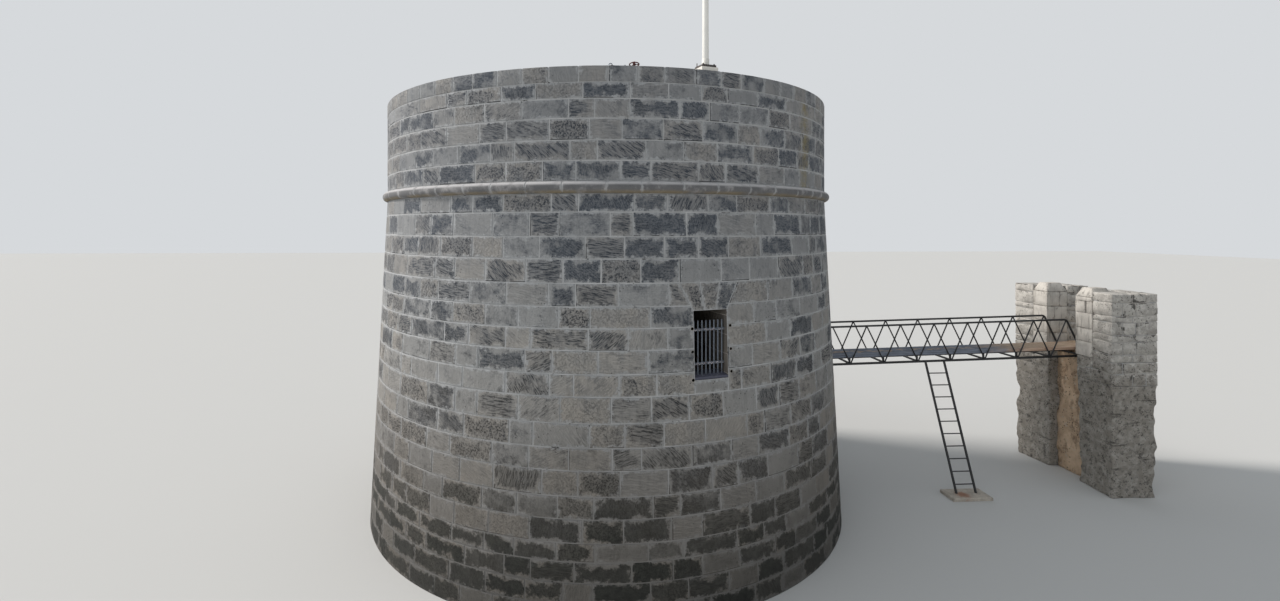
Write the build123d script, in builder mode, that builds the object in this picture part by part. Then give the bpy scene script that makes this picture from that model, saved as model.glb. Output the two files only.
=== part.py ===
from build123d import *
import os
from math import atan, cos, degrees, radians, sin, sqrt

# A martello tower of limestone ashlar with its steel footbridge, ladder and bridge abutment.
# Millimetres. The origin is on the tower's axis at the floor of the dry ditch, +Z is up,
# and the footbridge runs out from the doorway along +X. Azimuths turn from +X towards +Y.

os.makedirs("parts", exist_ok=True)

# Fits
BED_GAP = 0.5            # between curved or loose faces that seat on each other
STONE_JOINT = 6          # open joint between the stones of one ring

# Tower body
BASE_RADIUS = 5720       # outer face at the ditch floor
NECK_RADIUS = 5350       # outer face under the string course, and of the parapet
LOWER_ROOM_RADIUS = 2550
UPPER_ROOM_RADIUS = 2750
SECTORS = 8              # each storey of the wall is built in this many sectors

# Levels above the ditch floor
JOIST_SEAT_Z = 3090
FLOOR_Z = 3340           # first floor, doorway sill and the bridge deck's inner end
SPRING_Z = 5350          # springing of the vault
STRING_Z = 7250          # underside of the string course
PLATFORM_Z = 7300        # gun platform
PARAPET_TOP_Z = 9450     # outer top edge of the parapet

# Vault and roof
VAULT_BEARING = 300      # width of the ledge that carries the vault
VAULT_RISE = 950
PLATFORM_THICKNESS = 200
STEP_WIDTH = 600
STEP_HEIGHT = 300
GUTTER = 10              # between the platform and the firing step
PARAPET_THICKNESS = 1750
COPING_HEIGHT = 280
COPING_FALL = 60         # the coping falls this much towards its outer edge
COPING_STONES = 32

# String course, a half-round bead on a bedded stone
STRING_HEIGHT = 210
STRING_BEAD = 105
STRING_BED = 400
STRING_STONES = 32

# Openings
DOOR_WIDTH = 900
DOOR_HEAD_Z = 5300
WINDOW_WIDTH = 660
WINDOW_SILL_Z = 4010
WINDOW_HEAD_Z = 5210
WINDOW_AZIMUTH = -73.4
REVEAL_DEPTH = 420       # straight part of the window opening, before it splays
WINDOW_INNER_WIDTH = 1100
SILL_STONE_DEPTH = 320
SILL_STONE_FRONT = 45    # its height at the face, and at the back, so that it sheds water
SILL_STONE_BACK = 90

# Window grille
GRILLE_BARS = 8
GRILLE_PITCH = 80
GRILLE_BAR = 24
GRILLE_RAIL_HEIGHT = 40
GRILLE_RAIL_THICKNESS = 14
GRILLE_SETBACK = 130     # from the wall's face to the middle of the bars
GRILLE_TOP_GAP = 190     # the bars end free below the head of the window
GRILLE_RAILS = (255, 850)    # middles of the rails above the window's sill

# Timber floor
JOISTS = 6
JOIST_WIDTH = 120
BOARD_THICKNESS = 50
HATCH = 600
HATCH_CENTRE = (0, -1300)
GROUND_SLAB = 200

# Flagpole and fittings on the parapet
POLE_AZIMUTH = -72.4
POLE_INSET = 240         # from the parapet's outer edge to the middle of the pole
POLE_FOOT_DIAMETER = 120
POLE_HEAD_DIAMETER = 80
POLE_HEIGHT = 5500
PLINTH_WIDTH = 330
PLINTH_HEIGHT = 75
FLANGE_WIDTH = 270
FLANGE_HEIGHT = 18
SOCKET_HEIGHT = 160
SOCKET_WALL = 12
TRUCK_RADIUS = 75
TRUCK_NECK = 30
FITTING_INSET = 170      # from the parapet's outer edge to the middle of the other fittings
FOOT_BEDDING = 4         # thickness of a fitting's foot above and below the coping's mean slope
WHEEL_AZIMUTH = -87.6
WHEEL_DIAMETER = 190
WHEEL_TUBE = 22
WHEEL_HEIGHT = 60
SPINDLE_DIAMETER = 28
EYE_AZIMUTH = -92.2
EYE_DIAMETER = 58
EYE_ROD = 14
EYE_SEAM = -80           # the eye's rod starts here and stops short of a full turn by the gap
EYE_GAP = 20
EYE_PIN = 60
STUD_AZIMUTHS = (-89.4, -48.9)
STUD_DIAMETER = 22
STUD_HEIGHT = 45

# Footbridge, measured along and square to its gentle rise away from the tower
BRIDGE_RISE = 0.023      # per unit of length
BRIDGE_GAUGE = 760       # between the middles of the two side trusses
TRUSS_GAP = 70           # from the tower's face to the middle of the trusses' end posts
FIRST_NODE = 790         # from the tower's face to the first bottom node
PANEL = 904
PANELS = 7
CHORD_DROP = 238         # from the top of the deck to the middle of the bottom chord
TRUSS_DEPTH = 970
TOP_TUBE = 50
BOTTOM_CHORD = 50
WEB_ROD = 34
BEND_RADIUS = 110
CROSS_BEAM = 40
DECK_GAP = 10            # from the tower's face to the deck
DECK_EDGE_HEIGHT = 80
DECK_EDGE_WIDTH = 40
DECK_LEDGE = 30          # the boards lie on this much of ledge inside each edge
DECK_BOARD = 45
DECK_CLEARANCE = 15      # between the deck's edge and the truss rods
BOARD_WIDTH = 145
BOARD_SPACING = 150
BRACKET_LENGTH = 170
BRACKET_DEPTH = 200
BRACKET_WIDTH = 60

# Ladder from the near truss to its footing, leaning outward and a little sideways
LADDER_REACH = 3020      # from the tower's face to the middle of the ladder at the bridge
LADDER_WIDTH = 500
LADDER_RUN = 820         # from the truss to the foot, across the bridge
LADDER_SKEW = 300        # the foot stands this much further from the tower
STILE = 42
RUNG = 28
RUNG_SPACING = 300
RUNGS = 10
PAD_SIZE = (1000, 550, 80)

# Bridge abutment, a short bay of the ditch's round retaining wall with a slot for the bridge
DITCH_WIDTH = 6850       # from the tower's face at the doorway sill to the wall's face
ABUTMENT_THICKNESS = 1200
ABUTMENT_SIDE = 1150     # width of the wall each side of the slot
SLOT_WIDTH = 950
RIM_Z = 5030             # top of the walls
RECESS_DEPTH = 250       # of the slot below the deck
TRUSS_BEARING = 120      # length of the ledge under the trusses' ends
DECK_BEARING = 300       # length of the seat under the deck's end
DECK_END_JOINT = 6
PIER_PROJECTION = 40     # the dressed piers stand this proud of the wall
PIER_WIDTH = 520
PIER_DEPTH = 600
PIER_TOP_Z = 5110
PIER_CAP_HEIGHT = 240
PIER_CAP_INSET = 110


def wall_radius(z):
    """Outer radius of the battered wall at a height under the string course."""
    return BASE_RADIUS + (NECK_RADIUS - BASE_RADIUS) * z / STRING_Z


def at(azimuth, radius):
    """The point in plan at an azimuth in degrees and a radius."""
    return radius * cos(radians(azimuth)), radius * sin(radians(azimuth))


def section_plane(azimuth):
    """Vertical plane through the axis, with local x outward and local y up."""
    out = (cos(radians(azimuth)), sin(radians(azimuth)), 0)
    return Plane(origin=(0, 0, 0), x_dir=out, z_dir=(out[1], -out[0], 0))


def keep(builder, name):
    """Labels a finished piece and writes it as parts/NAME.step."""
    builder.part.label = name
    export_step(builder.part, f"parts/{name}.step")


parapet_inner = NECK_RADIUS - PARAPET_THICKNESS
vault_radius = UPPER_ROOM_RADIUS + VAULT_BEARING
platform_seat_z = PLATFORM_Z - PLATFORM_THICKNESS
string_top_z = STRING_Z + STRING_HEIGHT
string_back = NECK_RADIUS - STRING_BED
coping_seat_z = PARAPET_TOP_Z - COPING_HEIGHT
sector_angle = 360 / SECTORS

lower_outline = [
    (LOWER_ROOM_RADIUS, 0),
    (BASE_RADIUS, 0),
    (wall_radius(FLOOR_Z), FLOOR_Z),
    (UPPER_ROOM_RADIUS, FLOOR_Z),
    (UPPER_ROOM_RADIUS, JOIST_SEAT_Z),
    (LOWER_ROOM_RADIUS, JOIST_SEAT_Z),
]
upper_outline = [
    (UPPER_ROOM_RADIUS, FLOOR_Z),
    (wall_radius(FLOOR_Z), FLOOR_Z),
    (NECK_RADIUS, STRING_Z),
    (string_back, STRING_Z),
    (string_back, string_top_z),
    (parapet_inner, string_top_z),
    (parapet_inner, platform_seat_z),
    (vault_radius, platform_seat_z),
    (vault_radius, SPRING_Z),
    (UPPER_ROOM_RADIUS, SPRING_Z),
]
parapet_outline = [
    (parapet_inner, string_top_z),
    (NECK_RADIUS, string_top_z),
    (NECK_RADIUS, coping_seat_z),
    (parapet_inner, coping_seat_z),
]


def sector(outline, start, sweep):
    """Part of a ring: a section turned about the axis from one azimuth."""
    with BuildPart() as turned:
        with BuildSketch(section_plane(start)):
            with BuildLine():
                Polyline(*outline, close=True)
            make_face()
        revolve(axis=Axis.Z, revolution_arc=sweep)
    return turned.part


def alternate_sectors(outline, first):
    """Every second sector of a ring, so that none touches another."""
    with BuildPart() as bays:
        with PolarLocations(0, SECTORS // 2, start_angle=first * sector_angle):
            add(sector(outline, 0, sector_angle))
    return bays


# Lower wall, from the ditch floor to the door sill
keep(alternate_sectors(lower_outline, 0), "lower_wall_odd_sectors")
keep(alternate_sectors(lower_outline, 1), "lower_wall_even_sectors")

# Upper wall, pierced by the doorway and by the splayed window
window_out = at(WINDOW_AZIMUTH, 1)
window_face = wall_radius((WINDOW_SILL_Z + WINDOW_HEAD_Z) / 2)
window_plan = Plane(
    origin=(0, 0, WINDOW_SILL_Z), x_dir=(window_out[0], window_out[1], 0), z_dir=(0, 0, 1)
)
window_height = WINDOW_HEAD_Z - WINDOW_SILL_Z
splay_start = window_face - REVEAL_DEPTH
beyond_wall = BASE_RADIUS + NECK_RADIUS      # cuts through the wall end well outside it
for number in range(SECTORS):
    with BuildPart() as upper_wall:
        add(sector(upper_outline, number * sector_angle, sector_angle))
        if number in (0, SECTORS - 1):
            with BuildSketch(Plane.XY.offset(FLOOR_Z)):
                with Locations((beyond_wall / 2, 0)):
                    Rectangle(beyond_wall, DOOR_WIDTH)
            extrude(amount=string_top_z - FLOOR_Z, mode=Mode.SUBTRACT)
        if number * sector_angle <= WINDOW_AZIMUTH % 360 < (number + 1) * sector_angle:
            with BuildSketch(window_plan):
                with BuildLine():
                    Polyline(
                        (UPPER_ROOM_RADIUS * 0.9, WINDOW_INNER_WIDTH / 2),
                        (splay_start, WINDOW_WIDTH / 2),
                        (beyond_wall, WINDOW_WIDTH / 2),
                        (beyond_wall, -WINDOW_WIDTH / 2),
                        (splay_start, -WINDOW_WIDTH / 2),
                        (UPPER_ROOM_RADIUS * 0.9, -WINDOW_INNER_WIDTH / 2),
                        close=True,
                    )
                make_face()
            extrude(amount=window_height, mode=Mode.SUBTRACT)
    keep(upper_wall, f"upper_wall_{number + 1}")

# Wall over the doorway, between its two sectors
with BuildPart() as door_head:
    add(sector(upper_outline, -sector_angle / 2, sector_angle))
    with BuildSketch(Plane.XY.offset(DOOR_HEAD_Z)):
        with Locations((beyond_wall / 2, 0)):
            Rectangle(beyond_wall, DOOR_WIDTH)
    extrude(amount=string_top_z - DOOR_HEAD_Z, mode=Mode.INTERSECT)
keep(door_head, "door_head_wall")

# Parapet
keep(alternate_sectors(parapet_outline, 0), "parapet_odd_sectors")
keep(alternate_sectors(parapet_outline, 1), "parapet_even_sectors")


def stone_ring(outline, stones, joint_radius):
    """A ring of equal stones with an open joint between each two."""
    pitch = 360 / stones
    joint_angle = STONE_JOINT / radians(joint_radius)
    stone = sector(outline, joint_angle / 2, pitch - joint_angle)
    with BuildPart() as ring:
        with PolarLocations(0, stones):
            add(stone)
    return ring


# Coping stones, falling outward
coping_outline = [
    (parapet_inner, coping_seat_z),
    (NECK_RADIUS, coping_seat_z),
    (NECK_RADIUS, PARAPET_TOP_Z),
    (parapet_inner, PARAPET_TOP_Z + COPING_FALL),
]
keep(stone_ring(coping_outline, COPING_STONES, NECK_RADIUS), "parapet_coping")

# String course stones, with the half-round bead standing proud of the wall
string_pitch = 360 / STRING_STONES
string_joint = STONE_JOINT / radians(NECK_RADIUS)
string_middle_z = STRING_Z + STRING_HEIGHT / 2
with BuildPart() as string_stone:
    with BuildSketch(section_plane(string_joint / 2)):
        with BuildLine():
            Polyline(
                (NECK_RADIUS, string_top_z),
                (string_back + BED_GAP, string_top_z),
                (string_back + BED_GAP, STRING_Z),
                (NECK_RADIUS, STRING_Z),
            )
            ThreePointArc(
                (NECK_RADIUS, STRING_Z),
                (NECK_RADIUS + STRING_BEAD, string_middle_z),
                (NECK_RADIUS, string_top_z),
            )
        make_face()
    revolve(axis=Axis.Z, revolution_arc=string_pitch - string_joint)
with BuildPart() as string_course:
    with PolarLocations(0, STRING_STONES):
        add(string_stone.part)
keep(string_course, "string_course")

# Vault over the first floor: a plug of masonry with a shallow dome cut from its underside
with BuildPart() as vault:
    with BuildSketch(section_plane(0)):
        with BuildLine():
            Polyline(
                (UPPER_ROOM_RADIUS, SPRING_Z),
                (vault_radius - BED_GAP, SPRING_Z),
                (vault_radius - BED_GAP, platform_seat_z),
                (0, platform_seat_z),
                (0, SPRING_Z + VAULT_RISE),
            )
            dome_radius = (UPPER_ROOM_RADIUS**2 + VAULT_RISE**2) / (2 * VAULT_RISE)
            half_way = UPPER_ROOM_RADIUS / 2
            crown_centre_z = SPRING_Z + VAULT_RISE - dome_radius
            ThreePointArc(
                (0, SPRING_Z + VAULT_RISE),
                (half_way, crown_centre_z + sqrt(dome_radius**2 - half_way**2)),
                (UPPER_ROOM_RADIUS, SPRING_Z),
            )
        make_face()
    revolve(axis=Axis.Z)
keep(vault, "vault")

# Gun platform and the firing step round it
step_inner = parapet_inner - STEP_WIDTH
with BuildPart() as gun_platform:
    with BuildSketch(Plane.XY.offset(platform_seat_z)):
        Circle(step_inner - GUTTER)
    extrude(amount=PLATFORM_THICKNESS)
keep(gun_platform, "gun_platform")

step_stones = SECTORS * 2
step_outline = [
    (step_inner, platform_seat_z),
    (parapet_inner - BED_GAP, platform_seat_z),
    (parapet_inner - BED_GAP, PLATFORM_Z + STEP_HEIGHT),
    (step_inner, PLATFORM_Z + STEP_HEIGHT),
]
keep(stone_ring(step_outline, step_stones, step_inner), "firing_step")

# Ground floor slab and the timber floor over the lower room
with BuildPart() as ground_floor:
    with BuildSketch():
        Circle(LOWER_ROOM_RADIUS - BED_GAP)
    extrude(amount=GROUND_SLAB)
keep(ground_floor, "ground_floor")

joist_depth = FLOOR_Z - BOARD_THICKNESS - JOIST_SEAT_Z
with BuildPart() as floor_joists:
    joist_pitch = 2 * LOWER_ROOM_RADIUS / (JOISTS + 1)
    with BuildSketch(Plane.XY.offset(JOIST_SEAT_Z)):
        Circle(UPPER_ROOM_RADIUS - BED_GAP)
        with BuildSketch(mode=Mode.INTERSECT):
            with GridLocations(joist_pitch, 0, JOISTS, 1):
                Rectangle(JOIST_WIDTH, 2 * UPPER_ROOM_RADIUS)
    extrude(amount=joist_depth)
keep(floor_joists, "floor_joists")

with BuildPart() as floor_boards:
    with BuildSketch(Plane.XY.offset(FLOOR_Z - BOARD_THICKNESS)):
        Circle(UPPER_ROOM_RADIUS - BED_GAP)
        with Locations(HATCH_CENTRE):
            Rectangle(HATCH, HATCH, mode=Mode.SUBTRACT)
    extrude(amount=BOARD_THICKNESS)
keep(floor_boards, "floor_boards")

# Window sill stone, let into the reveal and sloped to shed water
sill_back = window_face - SILL_STONE_DEPTH
window_section = Plane(
    origin=(0, 0, WINDOW_SILL_Z), x_dir=window_plan.x_dir, z_dir=window_plan.y_dir * -1
)
with BuildPart() as window_sill:
    with BuildSketch(window_section):
        with BuildLine():
            Polyline(
                (sill_back, 0),
                (window_face, 0),
                (window_face, SILL_STONE_FRONT),
                (sill_back, SILL_STONE_BACK),
                close=True,
            )
        make_face()
    extrude(amount=WINDOW_WIDTH / 2 - BED_GAP, both=True)
keep(window_sill, "window_sill")

# Window grille: upright bars that end free, on two rails let in from jamb to jamb
grille_x = window_face - GRILLE_SETBACK
with BuildPart() as window_grille:
    with BuildSketch(window_plan):
        with Locations((grille_x, 0)):
            with GridLocations(0, GRILLE_PITCH, 1, GRILLE_BARS):
                Circle(GRILLE_BAR / 2)
    extrude(amount=window_height - GRILLE_TOP_GAP)
    for height in GRILLE_RAILS:
        with BuildSketch(window_plan.offset(height - GRILLE_RAIL_HEIGHT / 2)):
            with Locations((grille_x, 0)):
                Rectangle(GRILLE_RAIL_THICKNESS, WINDOW_WIDTH - 2 * BED_GAP)
        extrude(amount=GRILLE_RAIL_HEIGHT)
    add(window_sill.part, mode=Mode.SUBTRACT)
keep(window_grille, "window_grille")


def coping_z(radius):
    """Height of the sloping coping at a radius."""
    return PARAPET_TOP_Z + COPING_FALL * (NECK_RADIUS - radius) / PARAPET_THICKNESS


def on_coping(azimuth, radius, height=0):
    """Level plane on the coping, with local x outward."""
    x, y = at(azimuth, radius)
    return Plane(
        origin=(x, y, coping_z(radius) + height),
        x_dir=(cos(radians(azimuth)), sin(radians(azimuth)), 0),
        z_dir=(0, 0, 1),
    )


def under_foot(azimuth):
    """The stone under a fitting, for cutting its foot to the coping's slope."""
    return sector(coping_outline, azimuth - sector_angle / 8, sector_angle / 4)


# Flagpole: a plinth cut to the slope of the coping, a bolted flange with a socket, the pole, its truck
pole_radius = NECK_RADIUS - POLE_INSET
plinth_top = on_coping(POLE_AZIMUTH, pole_radius, PLINTH_HEIGHT)
with BuildPart() as flagpole_plinth:
    with BuildSketch(section_plane(POLE_AZIMUTH)):
        inner_edge = pole_radius - PLINTH_WIDTH / 2
        outer_edge = pole_radius + PLINTH_WIDTH / 2
        plinth_top_z = coping_z(pole_radius) + PLINTH_HEIGHT
        with BuildLine():
            Polyline(
                (inner_edge, coping_z(inner_edge)),
                (outer_edge, coping_z(outer_edge)),
                (outer_edge, plinth_top_z),
                (inner_edge, plinth_top_z),
                close=True,
            )
        make_face()
    extrude(amount=PLINTH_WIDTH / 2, both=True)
keep(flagpole_plinth, "flagpole_plinth")

with BuildPart() as flagpole_flange:
    with BuildSketch(plinth_top):
        RectangleRounded(FLANGE_WIDTH, FLANGE_WIDTH, FLANGE_WIDTH / 10)
    extrude(amount=FLANGE_HEIGHT)
    with BuildSketch(plinth_top.offset(FLANGE_HEIGHT)):
        Circle(POLE_FOOT_DIAMETER / 2 + SOCKET_WALL)
        Circle(POLE_FOOT_DIAMETER / 2 + BED_GAP, mode=Mode.SUBTRACT)
    extrude(amount=SOCKET_HEIGHT)
keep(flagpole_flange, "flagpole_flange")

with BuildPart() as flagpole:
    with BuildSketch(plinth_top.offset(FLANGE_HEIGHT)):
        Circle(POLE_FOOT_DIAMETER / 2)
    extrude(amount=SOCKET_HEIGHT)
    with BuildSketch(plinth_top.offset(FLANGE_HEIGHT + SOCKET_HEIGHT)):
        Circle(POLE_FOOT_DIAMETER / 2)
    with BuildSketch(plinth_top.offset(FLANGE_HEIGHT + POLE_HEIGHT)):
        Circle(POLE_HEAD_DIAMETER / 2)
    loft()
keep(flagpole, "flagpole")

neck_radius = POLE_HEAD_DIAMETER / 2
ball_middle_z = TRUCK_NECK + sqrt(TRUCK_RADIUS**2 - neck_radius**2)
ball_top_z = ball_middle_z + TRUCK_RADIUS
with BuildPart() as ball:
    with BuildSketch(Plane.XZ):
        with BuildLine():
            Polyline((0, ball_top_z), (0, 0), (neck_radius, 0), (neck_radius, TRUCK_NECK))
            ThreePointArc((neck_radius, TRUCK_NECK), (TRUCK_RADIUS, ball_middle_z), (0, ball_top_z))
        make_face()
    revolve(axis=Axis.Z)
with BuildPart() as flagpole_truck:
    with Locations(plinth_top.offset(FLANGE_HEIGHT + POLE_HEIGHT)):
        add(ball.part)
keep(flagpole_truck, "flagpole_truck")

# Hand wheel on a short spindle, at the front of the coping
fitting_radius = NECK_RADIUS - FITTING_INSET
wheel_seat = on_coping(WHEEL_AZIMUTH, fitting_radius)
with BuildPart() as hand_wheel:
    with BuildSketch(wheel_seat.offset(-FOOT_BEDDING)):
        Circle(SPINDLE_DIAMETER * 1.3)
    extrude(amount=2 * FOOT_BEDDING)
    with BuildSketch(wheel_seat):
        Circle(SPINDLE_DIAMETER / 2)
    extrude(amount=WHEEL_HEIGHT + SPINDLE_DIAMETER)
    add(under_foot(WHEEL_AZIMUTH), mode=Mode.SUBTRACT)
    rim_section = Plane(
        origin=wheel_seat.origin + Vector(0, 0, WHEEL_HEIGHT),
        x_dir=wheel_seat.x_dir,
        z_dir=wheel_seat.y_dir * -1,
    )
    with BuildSketch(rim_section):
        with Locations(((WHEEL_DIAMETER - WHEEL_TUBE) / 2, 0)):
            Circle(WHEEL_TUBE / 2)
    revolve(axis=Axis(wheel_seat.origin, (0, 0, 1)))
    for turn in (0, 120, 240):
        spoke = Plane(
            origin=rim_section.origin,
            x_dir=(0, 0, 1),
            z_dir=wheel_seat.x_dir.rotate(Axis.Z, turn),
        )
        with BuildSketch(spoke):
            Circle(WHEEL_TUBE / 3)
        extrude(amount=(WHEEL_DIAMETER - WHEEL_TUBE) / 2)
keep(hand_wheel, "hand_wheel")

# Eye bolt beside it with a pin through its foot, standing edge on to the wall's face
eye_seat = on_coping(EYE_AZIMUTH, fitting_radius)
with BuildPart() as eye_bolt:
    with BuildSketch(eye_seat.offset(-FOOT_BEDDING)):
        Circle(EYE_ROD)
    extrude(amount=2 * FOOT_BEDDING)
    with BuildSketch(eye_seat):
        Circle(EYE_ROD / 2)
    extrude(amount=EYE_ROD * 1.5)
    ring_plane = Plane(origin=eye_seat.origin, x_dir=eye_seat.y_dir, z_dir=eye_seat.x_dir)
    with BuildLine(ring_plane) as ring:
        CenterArc((0, EYE_ROD + EYE_DIAMETER / 2), EYE_DIAMETER / 2, EYE_SEAM, 360 - EYE_GAP)
    with BuildSketch(Plane(origin=ring.line @ 0, z_dir=ring.line % 0)):
        Circle(EYE_ROD / 2)
    sweep()
    with BuildSketch(Plane(origin=eye_seat.origin + Vector(0, 0, EYE_ROD), z_dir=eye_seat.y_dir)):
        Circle(EYE_ROD / 3)
    extrude(amount=EYE_PIN)
    add(under_foot(EYE_AZIMUTH), mode=Mode.SUBTRACT)
keep(eye_bolt, "eye_bolt")

# Two short studs left standing in the coping
with BuildPart() as parapet_studs:
    for azimuth in STUD_AZIMUTHS:
        with BuildSketch(on_coping(azimuth, fitting_radius, -FOOT_BEDDING)):
            Circle(STUD_DIAMETER / 2)
        extrude(amount=STUD_HEIGHT + FOOT_BEDDING)
        add(under_foot(azimuth), mode=Mode.SUBTRACT)
keep(parapet_studs, "parapet_studs")

# Footbridge. It is drawn level, with x from the tower's face and z from the top of the deck,
# and each piece is then laid on the rise.
face_x = wall_radius(FLOOR_Z)
bridge_rise_angle = degrees(atan(BRIDGE_RISE))
bridge_frame = Location((face_x, 0, FLOOR_Z), (0, -bridge_rise_angle, 0))


def laid_on_rise(level):
    """The level piece turned and moved to its place on the bridge."""
    with BuildPart() as laid:
        with Locations(bridge_frame):
            add(level.part)
    return laid


def rise_z(x, level):
    """Height above the ditch floor, at a distance from the tower's axis, of a level on the bridge."""
    return FLOOR_Z + (x - face_x) * BRIDGE_RISE + level / cos(radians(bridge_rise_angle))


def rod(start, end, diameter):
    """A straight round rod between two points."""
    line = Edge.make_line(start, end)
    with BuildPart() as bar:
        with BuildSketch(Plane(origin=start, z_dir=line % 0)):
            Circle(diameter / 2)
        extrude(amount=line.length)
    return bar.part


chord_z = -CHORD_DROP
top_z = chord_z + TRUSS_DEPTH
chord_start = TRUSS_GAP - TOP_TUBE / 2
bottom_nodes = [FIRST_NODE + PANEL * k for k in range(PANELS + 1)]
foot = bottom_nodes[-1]
last_top = foot - PANEL / 2

# Side trusses: one tube bent into end post, hand rail and end diagonal, a bottom chord, and the web
for side, name in ((-1, "bridge_truss_near"), (1, "bridge_truss_far")):
    y = side * BRIDGE_GAUGE / 2
    with BuildPart() as truss:
        with BuildLine() as rail:
            FilletPolyline(
                (TRUSS_GAP, y, chord_z),
                (TRUSS_GAP, y, top_z),
                (last_top, y, top_z),
                (foot, y, chord_z),
                radius=BEND_RADIUS,
            )
        with BuildSketch(Plane(origin=rail.line @ 0, z_dir=rail.line % 0)):
            Circle(TOP_TUBE / 2)
        sweep()
        with BuildSketch(Plane.YZ.offset(chord_start)):
            with Locations((y, chord_z)):
                Rectangle(BOTTOM_CHORD, BOTTOM_CHORD)
        extrude(amount=foot - chord_start + BOTTOM_CHORD)
        for bottom in bottom_nodes[:-1]:
            for top in (bottom - PANEL / 2, bottom + PANEL / 2):
                add(rod((bottom, y, chord_z), (top, y, top_z), WEB_ROD))
    keep(laid_on_rise(truss), name)

# Cross beams between the bottom chords, with a post up to each edge of the deck
deck_width = BRIDGE_GAUGE - TOP_TUBE - 2 * DECK_CLEARANCE
beam_middle = (bottom_nodes[0] + foot) / 2
beam_top = chord_z + CROSS_BEAM / 2
with BuildPart() as cross_beams:
    with BuildSketch(Plane.XY.offset(chord_z - CROSS_BEAM / 2)):
        with Locations((beam_middle, 0)):
            with GridLocations(PANEL, 0, len(bottom_nodes), 1):
                Rectangle(CROSS_BEAM, BRIDGE_GAUGE - BOTTOM_CHORD)
    extrude(amount=CROSS_BEAM)
    with BuildSketch(Plane.XY.offset(beam_top)):
        with Locations((beam_middle, 0)):
            with GridLocations(PANEL, deck_width - DECK_EDGE_WIDTH, len(bottom_nodes), 2):
                Rectangle(DECK_EDGE_WIDTH, DECK_EDGE_WIDTH)
    extrude(amount=-DECK_EDGE_HEIGHT - beam_top)
keep(laid_on_rise(cross_beams), "bridge_cross_beams")

# Deck: an edge channel each side with a ledge, and boards laid between them on the ledges
ditch_radius = face_x + DITCH_WIDTH
recess_x = ditch_radius + RECESS_DEPTH
deck_seat_end = recess_x + DECK_BEARING
deck_end = (deck_seat_end - face_x) * cos(radians(bridge_rise_angle)) - DECK_END_JOINT
with BuildPart() as deck_edges:
    for side in (-1, 1):
        outer_y = side * deck_width / 2
        inner_y = outer_y - side * DECK_EDGE_WIDTH
        with BuildSketch(Plane.YZ.offset(DECK_GAP)):
            with BuildLine():
                Polyline(
                    (outer_y, -DECK_EDGE_HEIGHT),
                    (outer_y, 0),
                    (inner_y, 0),
                    (inner_y, -DECK_BOARD),
                    (inner_y - side * DECK_LEDGE, -DECK_BOARD),
                    (inner_y - side * DECK_LEDGE, -DECK_EDGE_HEIGHT),
                    close=True,
                )
            make_face()
        extrude(amount=deck_end - DECK_GAP)
keep(laid_on_rise(deck_edges), "bridge_deck_edges")

boards = int((deck_end - DECK_GAP) // BOARD_SPACING)
with BuildPart() as deck_boards:
    with BuildSketch(Plane.XY.offset(-DECK_BOARD)):
        with Locations((DECK_GAP + boards * BOARD_SPACING / 2, 0)):
            with GridLocations(BOARD_SPACING, 0, boards, 1):
                Rectangle(BOARD_WIDTH, deck_width - 2 * DECK_EDGE_WIDTH)
    extrude(amount=DECK_BOARD)
keep(laid_on_rise(deck_boards), "bridge_deck_boards")

# Brackets on the tower's face under the ends of the bottom chords, cut to the wall's curve
bracket_top = chord_z - BOTTOM_CHORD / 2
bracket_end = chord_start + BRACKET_LENGTH
with BuildPart() as bracket_blanks:
    for side in (-1, 1):
        with BuildSketch(Plane.XZ.offset(-side * BRIDGE_GAUGE / 2)):
            with BuildLine():
                Polyline(
                    (-BRACKET_LENGTH, bracket_top),
                    (bracket_end, bracket_top),
                    (bracket_end, bracket_top - BRACKET_DEPTH / 8),
                    (chord_start, bracket_top - BRACKET_DEPTH),
                    (-BRACKET_LENGTH, bracket_top - BRACKET_DEPTH),
                    close=True,
                )
            make_face()
        extrude(amount=BRACKET_WIDTH / 2, both=True)
with BuildPart() as brackets:
    add(laid_on_rise(bracket_blanks).part)
    with BuildSketch(Plane.XZ):
        with BuildLine():
            Polyline(
                (0, 0),
                (BASE_RADIUS + BED_GAP, 0),
                (wall_radius(FLOOR_Z) + BED_GAP, FLOOR_Z),
                (0, FLOOR_Z),
                close=True,
            )
        make_face()
    revolve(axis=Axis.Z, mode=Mode.SUBTRACT)
keep(brackets, "bridge_brackets")

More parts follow.
